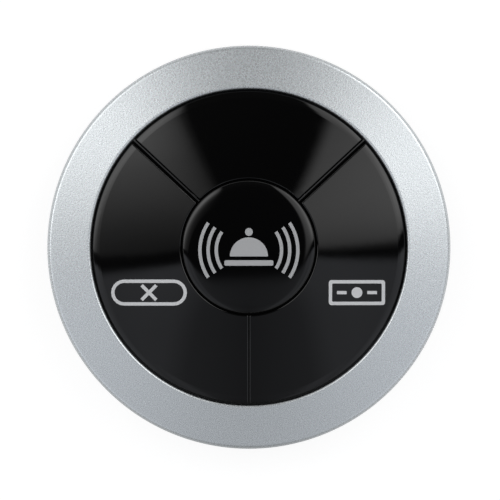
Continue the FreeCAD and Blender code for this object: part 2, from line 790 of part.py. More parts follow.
def actuator(place):
    """Post that presses a switch, with a cross of ribs at its root."""
    post = disc(actuator_radius, actuator_tip, overall_height, place)
    ribs = [
        centred_block(
            (2.0 * actuator_rib_reach, actuator_rib_width, overall_height), place, skirt_bottom, turn)
        for turn in (0.0, 90.0)
    ]
    return post, ribs


def make_left_key():
    """Left sector key: hollow cap, actuator, two guide pins and four snap hooks."""
    cap = sector_cap(
        (panel_end_angle, key_groove_offset, key_groove_round),
        (split_angle, split_gap / 2.0, key_split_round), skirt_bottom)
    post, ribs = actuator(switch_places()["left"])
    standing = [post] + ribs
    for radius, angle in side_pins:
        place = polar(radius, angle)
        standing.append(disc(guide_pin_radius, deck_bottom - guide_pin_overhang, overall_height, place))
    for radius, angle in side_outer_hooks:
        standing.append(snap_hook(radius, angle, overall_height, False))
    for radius, angle in side_inner_hooks:
        standing.append(snap_hook(radius, angle, overall_height, True))
    trimmed = [inside_crown(piece, key_face_wall * 0.5) for piece in standing]
    return cap.fuse(trimmed).removeSplitter()


def make_centre_key():
    """Round key: flat dome with a steeper shoulder, actuator, three guide pins and three snap hooks."""
    bend_radius = centre_key_radius - centre_key_shoulder
    rim_slope = math.radians(centre_key_shoulder_slope)
    dome_edge = bend_radius - centre_key_shoulder_round * math.tan(rim_slope / 2.0) - 2.0 * facet_step
    dome_slope = math.asin(dome_edge / centre_key_dome_radius)
    dome_corner = centre_key_dome_radius * math.tan(dome_slope / 2.0) + facet_step
    bend_height = overall_height - math.tan(dome_slope) * (bend_radius - dome_corner)
    rim_height = bend_height - math.tan(rim_slope) * centre_key_shoulder
    body = turned([
        (0, overall_height, 0),
        (dome_corner, overall_height, centre_key_dome_radius),
        (bend_radius, bend_height, centre_key_shoulder_round),
        (centre_key_radius, rim_height, centre_key_edge_round),
        (centre_key_radius, skirt_bottom, 0),
        (0, skirt_bottom, 0),
    ])
    core_top = rim_height - key_face_wall
    core = turned([
        (0, skirt_bottom - cut_margin, 0),
        (centre_key_radius - key_skirt_wall, skirt_bottom - cut_margin, 0),
        (centre_key_radius - key_skirt_wall, core_top, key_inside_round),
        (0, core_top, 0),
    ])
    cap = body.cut(core)
    post, ribs = actuator((0.0, 0.0))
    standing = [post] + ribs
    for angle in centre_pin_angles:
        place = polar(centre_hook_orbit, angle)
        standing.append(disc(guide_pin_radius, deck_bottom - guide_pin_overhang, overall_height, place))
    for angle in centre_hook_angles:
        standing.append(snap_hook(centre_hook_orbit, angle, overall_height, False))
    room = disc(centre_key_radius - key_skirt_wall * 0.5, board_bottom, core_top + key_face_wall * 0.5)
    return cap.fuse([piece.common(room) for piece in standing]).removeSplitter()


# ================================================================ electronics
def make_circuit_board():
    """Round board, cut out for the battery bay, with its drilled holes."""
    board = disc(board_radius, board_bottom, board_top)
    margin = board_notch_clearance
    notch_end = bay_end + margin
    notch_side = bay_centre_y + bay_half_width + bay_wall + margin
    notch = block((-notch_end, notch_end), (-body_radius, notch_side), (0, deck_bottom))
    cuts = [notch]
    for place in post_places:
        cuts.append(disc(board_screw_radius + board_hole_clearance, 0, deck_bottom, place))
    for centre in switch_places().values():
        for place in pin_places(centre):
            cuts.append(disc(pin_hole_radius, 0, deck_bottom, place))
    for side in (-0.5, 0.5):
        place = (lamp_place[0] + side * lamp_lead_spread, lamp_place[1])
        cuts.append(disc(pin_hole_radius, 0, deck_bottom, place))
    cuts.append(disc(pin_hole_radius, 0, deck_bottom, antenna_start))
    return board.cut(cuts)


def pin_places(centre):
    """Where a switch's four legs pass the board."""
    return [
        (centre[0] + sx * pin_spread_x / 2.0, centre[1] + sy * pin_spread_y / 2.0)
        for sx in (-1, 1) for sy in (-1, 1)
    ]


def make_board_screws():
    """Screws from below, through the board into the housing's posts."""
    return Part.makeCompound([
        screw(board_screw_radius, board_screw_length, board_head_radius, board_head_height,
              place, board_bottom)
        for place in post_places
    ])


def make_switch_body(centre):
    """Plastic cup of a push switch."""
    cup = centred_block((switch_width, switch_width, switch_cup_height), centre, board_top)
    uprights = [edge for edge in cup.Edges if abs(edge.tangentAt(edge.FirstParameter).z) > 0.99]
    cup = cup.makeChamfer(switch_corner, uprights)
    return cup.cut(disc(
        switch_cavity_radius, board_top + switch_cavity_floor, cover_top + cut_margin, centre))


def make_switch_button(centre):
    """Moving button of a push switch: a flange held under the cover, and a stem."""
    flange_top = board_top + switch_cup_height - facet_step
    flange = disc(button_flange_radius, flange_top - button_flange_height, flange_top, centre)
    stem = turned([
        (0, flange_top - root_sink, 0),
        (button_radius, flange_top - root_sink, 0),
        (button_radius, button_top - button_bevel, 0),
        (button_radius - button_bevel, button_top, 0),
        (0, button_top, 0),
    ])
    stem.translate(Vector(centre[0], centre[1], 0))
    return flange.fuse(stem).removeSplitter()


def make_switch_covers():
    """Steel covers with a hole for the button and four rivet heads."""
    covers = []
    for centre in switch_places().values():
        plate = centred_block((switch_width, switch_width, switch_cover), centre, cover_top - switch_cover)
        uprights = [edge for edge in plate.Edges if abs(edge.tangentAt(edge.FirstParameter).z) > 0.99]
        plate = plate.makeChamfer(switch_corner, uprights)
        plate = plate.cut(disc(button_radius + button_clearance, 0, overall_height, centre))
        offset = switch_width / 2.0 - rivet_inset
        rivets = [
            disc(rivet_radius, cover_top - facet_step, cover_top + rivet_height,
                 (centre[0] + sx * offset, centre[1] + sy * offset))
            for sx in (-1, 1) for sy in (-1, 1)
        ]
        covers.append(plate.fuse(rivets))
    return Part.makeCompound(covers)


def make_switch_legs():
    """Four bent legs on each switch, through the board."""
    legs = []
    foot = board_bottom - pin_below_board
    shoulder = board_top + pin_shoulder
    for centre in switch_places().values():
        for place in pin_places(centre):
            down = centred_block((pin_thickness, pin_width, shoulder - foot), place, foot)
            side = 1.0 if place[0] > centre[0] else -1.0
            inner = centre[0] + side * (switch_width / 2.0)
            outer = place[0] + side * pin_thickness / 2.0
            across = block(
                (min(inner, outer), max(inner, outer)),
                (place[1] - pin_width / 2.0, place[1] + pin_width / 2.0),
                (shoulder - pin_thickness, shoulder))
            legs.append(down.fuse(across).removeSplitter())
    return Part.makeCompound(legs)


def make_indicator_led():
    """Lamp: a domed body on a flange with one flat, over two leads."""
    foot = board_top + lamp_stand
    body = turned([
        (0, foot, 0),
        (lamp_flange_radius, foot, 0),
        (lamp_flange_radius, foot + lamp_flange_height, 0),
        (lamp_radius, foot + lamp_flange_height, 0),
        (lamp_radius, foot + lamp_body, lamp_radius - lamp_tip_flat),
        (0, foot + lamp_body, 0),
    ])
    body.translate(Vector(lamp_place[0], lamp_place[1], 0))
    flat = block(
        (lamp_place[0] + (lamp_radius + lamp_flange_radius) / 2.0, lamp_place[0] + lamp_body),
        (lamp_place[1] - lamp_body, lamp_place[1] + lamp_body),
        (foot - cut_margin, foot + lamp_flange_height))
    body = body.cut(flat)
    leads = [
        centred_block(
            (lamp_lead_width, lamp_lead_width, foot + root_sink - board_bottom + pin_below_board),
            (lamp_place[0] + side * lamp_lead_spread / 2.0, lamp_place[1]), board_bottom - pin_below_board)
        for side in (-1, 1)
    ]
    return body.fuse(leads).removeSplitter()


def gull_leg(root, side, pin, reach):
    """A bent leg that leaves a chip's side, steps down and stands on the board."""
    width, thickness, knee = pin
    x, y = root
    arm = reach / 2.0
    shoulder = centred_block(
        (width, arm + 2.0 * root_sink, thickness), (x, y + side * arm / 2.0), board_top + knee)
    drop = centred_block(
        (width, thickness, knee + thickness), (x, y + side * (arm + root_sink - thickness / 2.0)), board_top)
    toe_y = y + side * (arm + root_sink - thickness + (reach - arm) / 2.0)
    toe = centred_block((width, reach - arm, thickness), (x, toe_y), board_top)
    return [shoulder, drop, toe]


def make_encoder_chip():
    """Eight-legged surface-mount chip."""
    size = (chip_size[0], chip_size[1], chip_size[2] - chip_lift)
    body = centred_block(size, chip_place, board_top + chip_lift)
    legs = []
    for side in (-1, 1):
        for i in range(chip_pin_count):
            x = chip_place[0] + (i - (chip_pin_count - 1) / 2.0) * chip_pin_pitch
            root = (x, chip_place[1] + side * chip_size[1] / 2.0)
            legs += gull_leg(root, side, chip_pin, chip_pin_reach)
    return body.fuse(legs).removeSplitter()


def make_rf_transistor():
    """Three-legged surface-mount transistor."""
    size = (transistor_size[0], transistor_size[1], transistor_size[2] - transistor_lift)
    body = centred_block(size, transistor_place, board_top + transistor_lift)
    legs = []
    for x, side in transistor_pins:
        root = (transistor_place[0] + x, transistor_place[1] + side * transistor_size[1] / 2.0)
        legs += gull_leg(root, side, transistor_pin, transistor_pin_reach)
    return body.fuse(legs).removeSplitter()


def make_saw_resonator():
    """Round metal can of the resonator, on its brim."""
    can = turned([
        (0, board_top, 0),
        (can_radius, board_top, 0),
        (can_radius, board_top + can_brim, 0),
        (can_radius - can_brim, board_top + can_brim, 0),
        (can_radius - can_brim, board_top + can_height - can_bevel, 0),
        (can_radius - can_brim - can_bevel, board_top + can_height, 0),
        (0, board_top + can_height, 0),
    ])
    can.translate(Vector(can_place[0], can_place[1], 0))
    return can


def make_chips_group(size, places):
    """Surface-mount capacitors or resistors."""
    return Part.makeCompound([centred_block(size, (x, y), board_top, turn) for x, y, turn in places])


def coil(radius_start, radius_end, pitch, turns, wire_radius):
    """A coil of many-sided wire about +X from the origin."""
    height = pitch * turns
    taper = math.degrees(math.atan2(radius_end - radius_start, height))
    path = Part.makeHelix(pitch, height, radius_start, taper)
    corners = []
    for i in range(wire_sides + 1):
        turn = 2.0 * math.pi * i / wire_sides
        corners.append(Vector(radius_start + wire_radius * math.cos(turn), 0, wire_radius * math.sin(turn)))
    section = Part.makePolygon(corners)
    body = Part.Wire(path.Edges).makePipeShell([section], True, True)
    body.rotate(Vector(0, 0, 0), Y_AXIS, 90)
    return body


def make_antenna_coil():
    """Helical wire antenna, lying along the board's edge on its two ends."""
    wire = antenna_wire / 2.0
    axis_z = board_top + antenna_lift + wire + antenna_coil_radius
    body = coil(antenna_coil_radius, antenna_coil_radius, antenna_pitch, antenna_turns, wire)
    body.translate(Vector(0, 0, axis_z))
    leg = disc(wire - facet_step, board_bottom - pin_below_board, axis_z - antenna_coil_radius, (0, 0))
    body = body.fuse(leg)
    body.rotate(Vector(0, 0, 0), Z_AXIS, antenna_angle)
    body.translate(Vector(antenna_start[0], antenna_start[1], 0))
    return body


def make_battery():
    """Cylindrical 12 V cell, lying along X, its raised plus end towards +X."""
    shoulder = battery_length - battery_nub_height
    cell = turned([
        (0, 0, 0),
        (battery_radius - battery_edge_bevel, 0, 0),
        (battery_radius, battery_edge_bevel, 0),
        (battery_radius, shoulder - battery_edge_bevel, 0),
        (battery_radius - battery_edge_bevel, shoulder, 0),
        (battery_nub_radius, shoulder, 0),
        (battery_nub_radius, battery_length, 0),
        (0, battery_length, 0),
    ])
    cell.rotate(Vector(0, 0, 0), Y_AXIS, 90)
    cell.translate(Vector(battery_minus_x, bay_centre_y, battery_axis_z))
    return cell


def contact_blade(side):
    """Flat contact against a bay end, with a tab out to the board."""
    inner = bay_half_length - contact_thickness
    low = battery_axis_z - contact_height / 2.0
    y_low = bay_centre_y - contact_width / 2.0
    blade = block((inner, bay_half_length), (y_low, y_low + contact_width), (low, low + contact_height))
    tab_y = bay_centre_y + contact_tab_offset
    tab = block(
        (inner, bay_end + contact_tab_reach - bay_wall),
        (tab_y - contact_tab_width / 2.0, tab_y + contact_tab_width / 2.0),
        (board_top + facet_step, board_top + facet_step + contact_thickness))
    contact = blade.fuse(tab).removeSplitter()
    return contact if side > 0 else mirrored(contact)


def make_battery_spring():
    """Conical coil on a blade that presses the battery's minus end."""
    room = battery_minus_x + bay_half_length - contact_thickness
    wire = spring_wire / 2.0
    pitch = (room - spring_wire) / spring_turns
    body = coil(spring_large_radius, spring_small_radius, pitch, spring_turns, wire)
    seat = -bay_half_length + contact_thickness + wire - spring_weld
    body.translate(Vector(seat, bay_centre_y, battery_axis_z))
    return contact_blade(-1).fuse(body)


# ================================================================ assembly
switches = switch_places()
left_key = make_left_key()
nodes = {
    "bezel_ring": make_bezel_ring(),
    "base_housing": make_base_housing(),
    "battery_door": make_battery_door(),
    "rubber_feet": make_feet(),
    "case_screws": make_case_screws(),
    "upper_housing": make_upper_housing(),
    "top_panel": make_top_panel(),
    "centre_key": make_centre_key(),
    "left_key": left_key,
    "right_key": mirrored(left_key),
    "circuit_board": make_circuit_board(),
    "board_screws": make_board_screws(),
    "switch_covers": make_switch_covers(),
    "switch_legs": make_switch_legs(),
    "indicator_led": make_indicator_led(),
    "encoder_chip": make_encoder_chip(),
    "rf_transistor": make_rf_transistor(),
    "saw_resonator": make_saw_resonator(),
    "capacitors": make_chips_group(capacitor_size, capacitor_places),
    "resistors": make_chips_group(resistor_size, resistor_places),
    "antenna_coil": make_antenna_coil(),
    "battery": make_battery(),
    "battery_plate": contact_blade(1),
    "battery_spring": make_battery_spring(),
}
for side, centre in switches.items():
    nodes[side + "_switch_body"] = make_switch_body(centre)
    nodes[side + "_switch_plunger"] = make_switch_button(centre)

os.makedirs("parts", exist_ok=True)
for name, shape in nodes.items():
    print(name, "valid" if shape.isValid() else "NOT VALID", len(shape.Solids), round(shape.Volume, 2))
    shape.exportStep("parts/" + name + ".step")
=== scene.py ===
# %% [markdown]
# # A waiter call button, dressed for the camera
#
# The object is a round table-top call button: a silver-painted ring round three glossy black keys and a fixed
# smoked panel with a lamp behind it. Below are the black case, its screws and feet, and a hinged battery
# door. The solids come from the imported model. This file gives them their finishes, rebuilds the few pieces
# whose real shape is finer than the solid, adds the printed signs, and lights the result like a product on a
# white table.

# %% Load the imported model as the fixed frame
import json
import math

import bmesh
import bpy
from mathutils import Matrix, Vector

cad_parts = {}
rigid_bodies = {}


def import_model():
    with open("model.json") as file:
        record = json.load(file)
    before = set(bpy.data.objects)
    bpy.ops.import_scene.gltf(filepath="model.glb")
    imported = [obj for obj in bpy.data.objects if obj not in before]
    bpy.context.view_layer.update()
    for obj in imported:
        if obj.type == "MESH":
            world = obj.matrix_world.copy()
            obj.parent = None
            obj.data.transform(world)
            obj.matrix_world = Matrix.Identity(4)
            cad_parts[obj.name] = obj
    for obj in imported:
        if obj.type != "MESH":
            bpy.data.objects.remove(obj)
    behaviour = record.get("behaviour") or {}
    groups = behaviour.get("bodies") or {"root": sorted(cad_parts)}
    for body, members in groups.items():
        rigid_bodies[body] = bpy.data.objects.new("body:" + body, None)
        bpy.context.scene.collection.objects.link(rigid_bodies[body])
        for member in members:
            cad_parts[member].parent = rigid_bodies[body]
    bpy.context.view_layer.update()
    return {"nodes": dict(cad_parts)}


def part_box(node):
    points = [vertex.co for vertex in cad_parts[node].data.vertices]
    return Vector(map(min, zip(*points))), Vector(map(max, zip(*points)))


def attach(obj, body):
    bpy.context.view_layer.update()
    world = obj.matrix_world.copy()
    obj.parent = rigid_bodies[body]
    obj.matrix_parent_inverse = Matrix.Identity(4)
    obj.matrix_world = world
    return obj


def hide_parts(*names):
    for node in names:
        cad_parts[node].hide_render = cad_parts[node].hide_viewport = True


for leftover in list(bpy.data.objects):
    bpy.data.objects.remove(leftover, do_unlink=True)
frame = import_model()
MM = 0.001
WHITE = (1.0, 1.0, 1.0, 1.0)

# %% [markdown]
# ## Nodes
#
# Finishes, the lamp and the Geometry Nodes trees are all made of nodes. The helpers below each add one node,
# wire it and hand back the socket to go on from, so that a line of this script reads like the node that it
# stands for.

# %% Helpers that add nodes
def add(tree, kind, wires=None, **settings):
    """Adds a node. A wire that is a socket is linked; any other value is written on the input itself."""
    node = tree.nodes.new(kind)
    for key, value in settings.items():
        setattr(node, key, value)
    for key, value in (wires or {}).items():
        if isinstance(value, bpy.types.NodeSocket):
            tree.links.new(value, node.inputs[key])
        else:
            node.inputs[key].default_value = value
    return node


def maths(tree, operation, first, second=0.0, third=0.0):
    """The result of a Math node; each input is a socket or a number."""
    return add(tree, "ShaderNodeMath", {0: first, 1: second, 2: third}, operation=operation).outputs[0]


def vector_maths(tree, operation, first, second=(0.0, 0.0, 0.0)):
    """The result of a Vector Math node; each input is a socket or a vector, or a number to scale by."""
    place = 3 if operation == "SCALE" else 1
    node = add(tree, "ShaderNodeVectorMath", {0: first, place: second}, operation=operation)
    return node.outputs["Value" if operation == "LENGTH" else "Vector"]


def parts_of(tree, vector):
    """The X, Y and Z of a vector, by name."""
    return add(tree, "ShaderNodeSeparateXYZ", {0: vector}).outputs


def upward(tree, height):
    """A vector, or a turn, whose Z is given and whose X and Y are 0."""
    return add(tree, "ShaderNodeCombineXYZ", {"Z": height}).outputs[0]


def mapped(tree, value, low, high, new_low=0.0, new_high=1.0):
    """A number taken from one range to another, and held at the ends."""
    wires = {"Value": value, "From Min": low, "From Max": high, "To Min": new_low, "To Max": new_high}
    return add(tree, "ShaderNodeMapRange", wires).outputs["Result"]


MIX_SOCKETS = {"FLOAT": (2, 3, 0), "VECTOR": (4, 5, 1), "RGBA": (6, 7, 2)}


def mixed(tree, factor, low, high, kind="FLOAT"):
    """A number, vector or colour that runs from low to high with the factor."""
    first, second, result = MIX_SOCKETS[kind]
    return add(tree, "ShaderNodeMix", {0: factor, first: low, second: high}, data_type=kind).outputs[result]


def ramp(tree, factor, stops, interpolation="LINEAR"):
    """A colour ramp through (place, colour) stops, where a plain number stands for a grey."""
    node = add(tree, "ShaderNodeValToRGB", {"Fac": factor})
    node.color_ramp.interpolation = interpolation
    for _ in stops[2:]:
        node.color_ramp.elements.new(0.5)
    for element, (place, colour) in zip(node.color_ramp.elements, stops):
        element.position = place
        element.color = (*colour, 1.0) if isinstance(colour, tuple) else (colour, colour, colour, 1.0)
    return node.outputs["Color"]


# %% [markdown]
# ## Finishes
#
# Every finish is one Principled shader whose plain values sit on its own sockets, with one or two procedural
# textures for what a real surface adds: flakes in paint, the faint ripple of moulded gloss, the spark-eroded
# grain of a case. Painted images could do it, but each solid would need a map of its own. The textures read
# Object coordinates, so the grain has one size on every piece, in metres, and it stays in place when a piece
# moves.

# %% Helpers that make a finish and its textures
COORDINATES = {}
FINISHES = {}


def sockets(material):
    """The inputs of a material's shader."""
    return material.node_tree.nodes["Principled BSDF"].inputs


def new_finish(name, colour, roughness, **values):
    """A material with one Principled shader. Extra values go to the shader's sockets by name."""
    material = bpy.data.materials.new(name)
    material.use_nodes = True
    sockets(material)["Base Color"].default_value = (*colour, 1.0)
    sockets(material)["Roughness"].default_value = roughness
    for socket, value in values.items():
        sockets(material)[socket.replace("_", " ")].default_value = value
    COORDINATES[material] = add(material.node_tree, "ShaderNodeTexCoord").outputs["Object"]
    print("finish:", name)
    return material


def noise(material, scale, detail=2.0, source=None):
    """A noise on Object coordinates; scale is cells per metre."""
    return add(material.node_tree, "ShaderNodeTexNoise", {
        "Vector": source or COORDINATES[material], "Scale": scale, "Detail": detail}).outputs["Fac"]


def cells(material, scale, output, **settings):
    """One output of a Voronoi texture on Object coordinates; scale is cells per metre."""
    return add(material.node_tree, "ShaderNodeTexVoronoi", {
        "Vector": COORDINATES[material], "Scale": scale}, **settings).outputs[output]


def stretched(material, factors):
    """Object coordinates that are stretched, so that a noise on them runs in lines."""
    return add(material.node_tree, "ShaderNodeMapping", {
        "Scale": factors, "Vector": COORDINATES[material]}).outputs[0]


def between(material, factor, low, high, socket):
    """Feeds a shader's socket with a number or colour that runs from low to high with the factor."""
    tree = material.node_tree
    if isinstance(low, tuple):
        result = mixed(tree, factor, (*low, 1.0), (*high, 1.0), "RGBA")
    else:
        result = mapped(tree, factor, 0.0, 1.0, low, high)
    tree.links.new(result, sockets(material)[socket])
    return result


def relief(material, height, depth, strength=1.0):
    """Bumps the surface by a height texture; depth is in metres."""
    tree = material.node_tree
    bump = add(tree, "ShaderNodeBump", {"Strength": strength, "Distance": depth, "Height": height})
    tree.links.new(bump.outputs["Normal"], sockets(material)["Normal"])


# %% [markdown]
# ## Silver paint
#
# The ring is a moulding under silver lacquer: metal flakes in a clear coat. A shader that is all metal looks
# like bare aluminium, so this one is seven tenths metallic under a thin coat. Voronoi cells stand for the
# flakes, and a relief of about a hundredth of a millimetre spreads a highlight as they do.

# %% Silver paint
silver = new_finish(
    "silver_lacquer", (0.6, 0.61, 0.62), 0.3, Metallic=0.7, Coat_Weight=0.3, Coat_Roughness=0.15)
between(silver, cells(silver, 4200.0, "Color"), (0.741, 0.779, 0.798), (0.761, 0.798, 0.815), "Base Color")
between(silver, noise(silver, 2600.0), 0.25, 0.3, "Roughness")
relief(silver, noise(silver, 4200.0, 1.0), 0.000015)
FINISHES["silver_paint"] = silver

# %% [markdown]
# ## Gloss black
#
# The keys and the panel come from polished moulds. Faint waves in the surface and a thin haze of wear, which
# only a highlight shows, tell such a moulding from glass. The round key's top is one dome that steepens at
# its rim. Its solid joins a dome and a shoulder, and a mirror shows that join. A finer mesh could round it,
# but the key keeps its solid here: its finish works out which way a smooth dome would face at each place, and
# the up-facing skin shines by that.

# %% Gloss black and smoked black
def gloss_black(name, shade):
    """Polished moulding: faint waves from the mould and a thin haze of wear."""
    gloss = new_finish(name, (shade, shade, shade * 1.1), 0.05, IOR=1.5)
    relief(gloss, noise(gloss, 160.0, 1.0), 0.00001, 0.2)
    between(gloss, noise(gloss, 420.0, 4.0), 0.025, 0.055, "Roughness")
    return gloss


KEY_SHADE, PANEL_SHADE = 0.0012, 0.0008
FINISHES["gloss_black"] = gloss_black("gloss_key_black", KEY_SHADE)
FINISHES["smoked_black"] = gloss_black("smoked_panel_black", PANEL_SHADE)

# %% Gloss black of the round key
SIDE_FACES, TOP_FACES = 0.93, 0.96


def crowned(material, reach, dome, rim, power):
    """Lets the up-facing skin of a round key shine as one dome, which steepens by a power towards its rim."""
    tree = material.node_tree
    outward = vector_maths(tree, "MULTIPLY", COORDINATES[material], (1.0, 1.0, 0.0))
    share = maths(tree, "MULTIPLY", vector_maths(tree, "LENGTH", outward), 1.0 / reach)
    steep = maths(tree, "POWER", maths(tree, "MINIMUM", share, 1.0), power)
    fall = maths(tree, "MULTIPLY_ADD", steep, rim / reach, 1.0 / dome)
    domed = vector_maths(tree, "ADD", vector_maths(tree, "SCALE", outward, fall), (0.0, 0.0, 1.0))
    skin = add(tree, "ShaderNodeNewGeometry").outputs["Normal"]
    top = mapped(tree, parts_of(tree, skin)["Z"], SIDE_FACES, TOP_FACES)
    facing = vector_maths(tree, "NORMALIZE", mixed(tree, top, skin, domed, "VECTOR"))
    tree.links.new(facing, tree.nodes["Bump"].inputs["Normal"])


round_gloss = gloss_black("gloss_round_key_black", KEY_SHADE)
crowned(round_gloss, reach=0.0122, dome=0.47, rim=0.427, power=20.0)

# %% [markdown]
# ## Case and ink
#
# The case is moulded in a spark-eroded mould, whose even grain hides scratches. A fine noise gives the grain
# and a coarse one lets the black drift a little. The ink of the signs is pad-printed and matt, and the same
# print is on all three keys. It is made in two shades for how the light falls on them: the middle sign's ink
# is painted darker, as painted shade, and the side signs' ink is painted lighter, as painted light.

# %% Moulded black case
case = new_finish("case_black_grain", (0.02, 0.02, 0.021), 0.5, IOR=1.5)
grain = noise(case, 7000.0)
relief(case, grain, 0.00004, 0.5)
between(case, noise(case, 120.0), (0.016, 0.016, 0.017), (0.026, 0.026, 0.027), "Base Color")
between(case, grain, 0.42, 0.6, "Roughness")
FINISHES["housing_black"] = case

# %% Sign ink
INKS = {}
THIN_INK, THICK_INK = (0.94, 0.95, 0.96), (1.05, 1.06, 1.08)
# Two copies of one ink: the darker is painted shade for the middle sign, the lighter is painted light for the
# side signs.
for name, shade in (("sign_ink_painted_shade", 0.42), ("sign_ink_painted_light", 0.63)):
    ink = new_finish(name, (shade, shade, shade), 0.4, IOR=1.45)
    dots = noise(ink, 9000.0)
    low, high = (tuple(shade * share for share in shares) for shares in (THIN_INK, THICK_INK))
    between(ink, dots, low, high, "Base Color")
    relief(ink, dots, 0.000004, 0.3)
    INKS[name] = ink

# %% [markdown]
# ## Metals, rubber and the parts inside
#
# Plated and tinned metal is one metallic shader whose roughness and tint drift a little, because plating is
# never even. Sheet metal also has fine lines along the way it was rolled: a noise that is stretched along one
# axis. Rubber and nylon are rough and have no shine of their own, so a fine grain does the work.

# %% Metals
METALS = {
    "screw_steel": ("zinc_plate", (0.55, 0.56, 0.58), (0.68, 0.68, 0.64), 0.30),
    "switch_steel": ("tinned_sheet", (0.58, 0.58, 0.58), (0.70, 0.70, 0.69), 0.26),
    "can_steel": ("nickel_can", (0.56, 0.54, 0.50), (0.68, 0.66, 0.60), 0.22),
    "contact_steel": ("nickel_spring_steel", (0.58, 0.57, 0.54), (0.70, 0.69, 0.66), 0.24),
    "antenna_copper": ("enamelled_copper", (0.66, 0.27, 0.10), (0.80, 0.38, 0.17), 0.22),
}
ROLLED = (1.0, 14.0, 1.0)


def new_metal(name, dark, bright, roughness):
    """A plated metal with a drifting tint and fine rolling lines."""
    metal = new_finish(name, bright, roughness, Metallic=1.0)
    between(metal, noise(metal, 700.0, 3.0), dark, bright, "Base Color")
    lines = noise(metal, 900.0, 3.0, stretched(metal, ROLLED))
    between(metal, lines, roughness * 0.75, roughness * 1.35, "Roughness")
    relief(metal, lines, 0.000004, 0.5)
    return metal


for slot, recipe in METALS.items():
    FINISHES[slot] = new_metal(*recipe)

# %% Rubber, nylon and moulded packages: name, dark, bright, roughness, grain per metre, depth
GRAINY = {
    "rubber_grey": ("soft_rubber", (0.045, 0.045, 0.047), (0.075, 0.075, 0.077), 0.78, 3500.0, 0.00003),
    "switch_plastic": ("black_nylon", (0.018, 0.018, 0.018), (0.03, 0.03, 0.03), 0.42, 5000.0, 0.00001),
    "chip_black": ("moulded_package", (0.014, 0.014, 0.015), (0.026, 0.026, 0.027), 0.5, 6000.0, 0.00001),
    "capacitor_tan": ("fired_ceramic", (0.30, 0.19, 0.09), (0.40, 0.27, 0.14), 0.45, 4000.0, 0.00001),
    "resistor_black": ("black_glaze", (0.012, 0.012, 0.012), (0.024, 0.024, 0.025), 0.3, 3000.0, 0.00001),
}


def new_grainy(name, dark, bright, roughness, scale, depth):
    """A dull part with a fine grain. Returns its material and the socket that carries its colour."""
    material = new_finish(name, bright, roughness, IOR=1.5)
    grain = noise(material, scale, 3.0)
    colour = between(material, grain, dark, bright, "Base Color")
    between(material, grain, roughness * 0.85, roughness * 1.15, "Roughness")
    relief(material, grain, depth, 0.4)
    return material, colour


for slot, recipe in GRAINY.items():
    FINISHES[slot] = new_grainy(*recipe)[0]

# %% [markdown]
# ## Tinned ends and legs
#
# Capacitors and resistors end in tin, and so do the legs of the chips. Two materials on one piece could show
# it. One finish with a hard border does the same and keeps the piece in one slot: beyond a reach from the
# middle it turns metallic. On the blocks built below it reads a UV map that runs from end to end, and on a
# solid its Y.

# %% Tinned ends and legs
TIN = (0.66, 0.66, 0.65)
END_MAP = "ends"
END_REACH = 0.295


def tinned(slot, name, middle, reach, uv_map=None):
    """A slot's grainy part, tinned where a place along it is farther than a reach from its middle."""
    material, colour = new_grainy(name, *GRAINY[slot][1:])
    tree = material.node_tree
    source = add(tree, "ShaderNodeUVMap", uv_map=uv_map).outputs[0] if uv_map else COORDINATES[material]
    along = parts_of(tree, source)["X" if uv_map else "Y"]
    off = maths(tree, "ABSOLUTE", maths(tree, "SUBTRACT", along, middle))
    where = maths(tree, "GREATER_THAN", off, reach)
    tree.links.new(mixed(tree, where, colour, (*TIN, 1.0), "RGBA"), sockets(material)["Base Color"])
    tree.links.new(where, sockets(material)["Metallic"])
    return material


TINNED_CERAMIC = tinned("capacitor_tan", "fired_ceramic_tinned_ends", 0.5, END_REACH, END_MAP)
TINNED_GLAZE = tinned("resistor_black", "black_glaze_tinned_ends", 0.5, END_REACH, END_MAP)
OWN_FINISHES = {
    "centre_key": round_gloss,
    "encoder_chip": tinned("chip_black", "encoder_package_tinned_legs", 7.5 * MM, 1.97 * MM),
    "rf_transistor": tinned("chip_black", "transistor_package_tinned_legs", -7.6 * MM, 0.67 * MM),
}

# %% [markdown]
# ## Board, lamp and battery
#
# A circuit board is glass-fibre under green lacquer, and the copper tracks show through as paler green lines
# that keep to square directions. Square cells of a Voronoi texture, thinned to their borders, give such
# lines. The lamp is clear red epoxy. The battery is a steel can in a printed sleeve: the sleeve ends short of
# both rims, so one ramp along the battery's length turns steel into sleeve, and the sleeve's colour into the
# band at its plus end.

# %% Board
lacquer = new_finish("green_solder_mask", (0.01, 0.08, 0.03), 0.28, IOR=1.5)
MASK, TRACK = (0.008, 0.06, 0.022), (0.018, 0.14, 0.05)
squares = cells(lacquer, 330.0, "Distance", distance="CHEBYCHEV", feature="F1")
tracks = ramp(lacquer.node_tree, squares, ((0.0, MASK), (0.34, MASK), (0.37, TRACK), (1.0, TRACK)))
lacquer.node_tree.links.new(tracks, sockets(lacquer)["Base Color"])
relief(lacquer, tracks, 0.00003, 0.5)
between(lacquer, noise(lacquer, 2500.0), 0.22, 0.36, "Roughness")
FINISHES["board_green"] = lacquer

# %% Lamp
epoxy = new_finish("clear_red_epoxy", (0.75, 0.015, 0.01), 0.08, IOR=1.54, Transmission_Weight=0.6)
swirl = noise(epoxy, 900.0)
between(epoxy, swirl, (0.68, 0.01, 0.008), (0.8, 0.03, 0.02), "Base Color")
between(epoxy, swirl, 0.05, 0.12, "Roughness")
FINISHES["lamp_red"] = epoxy

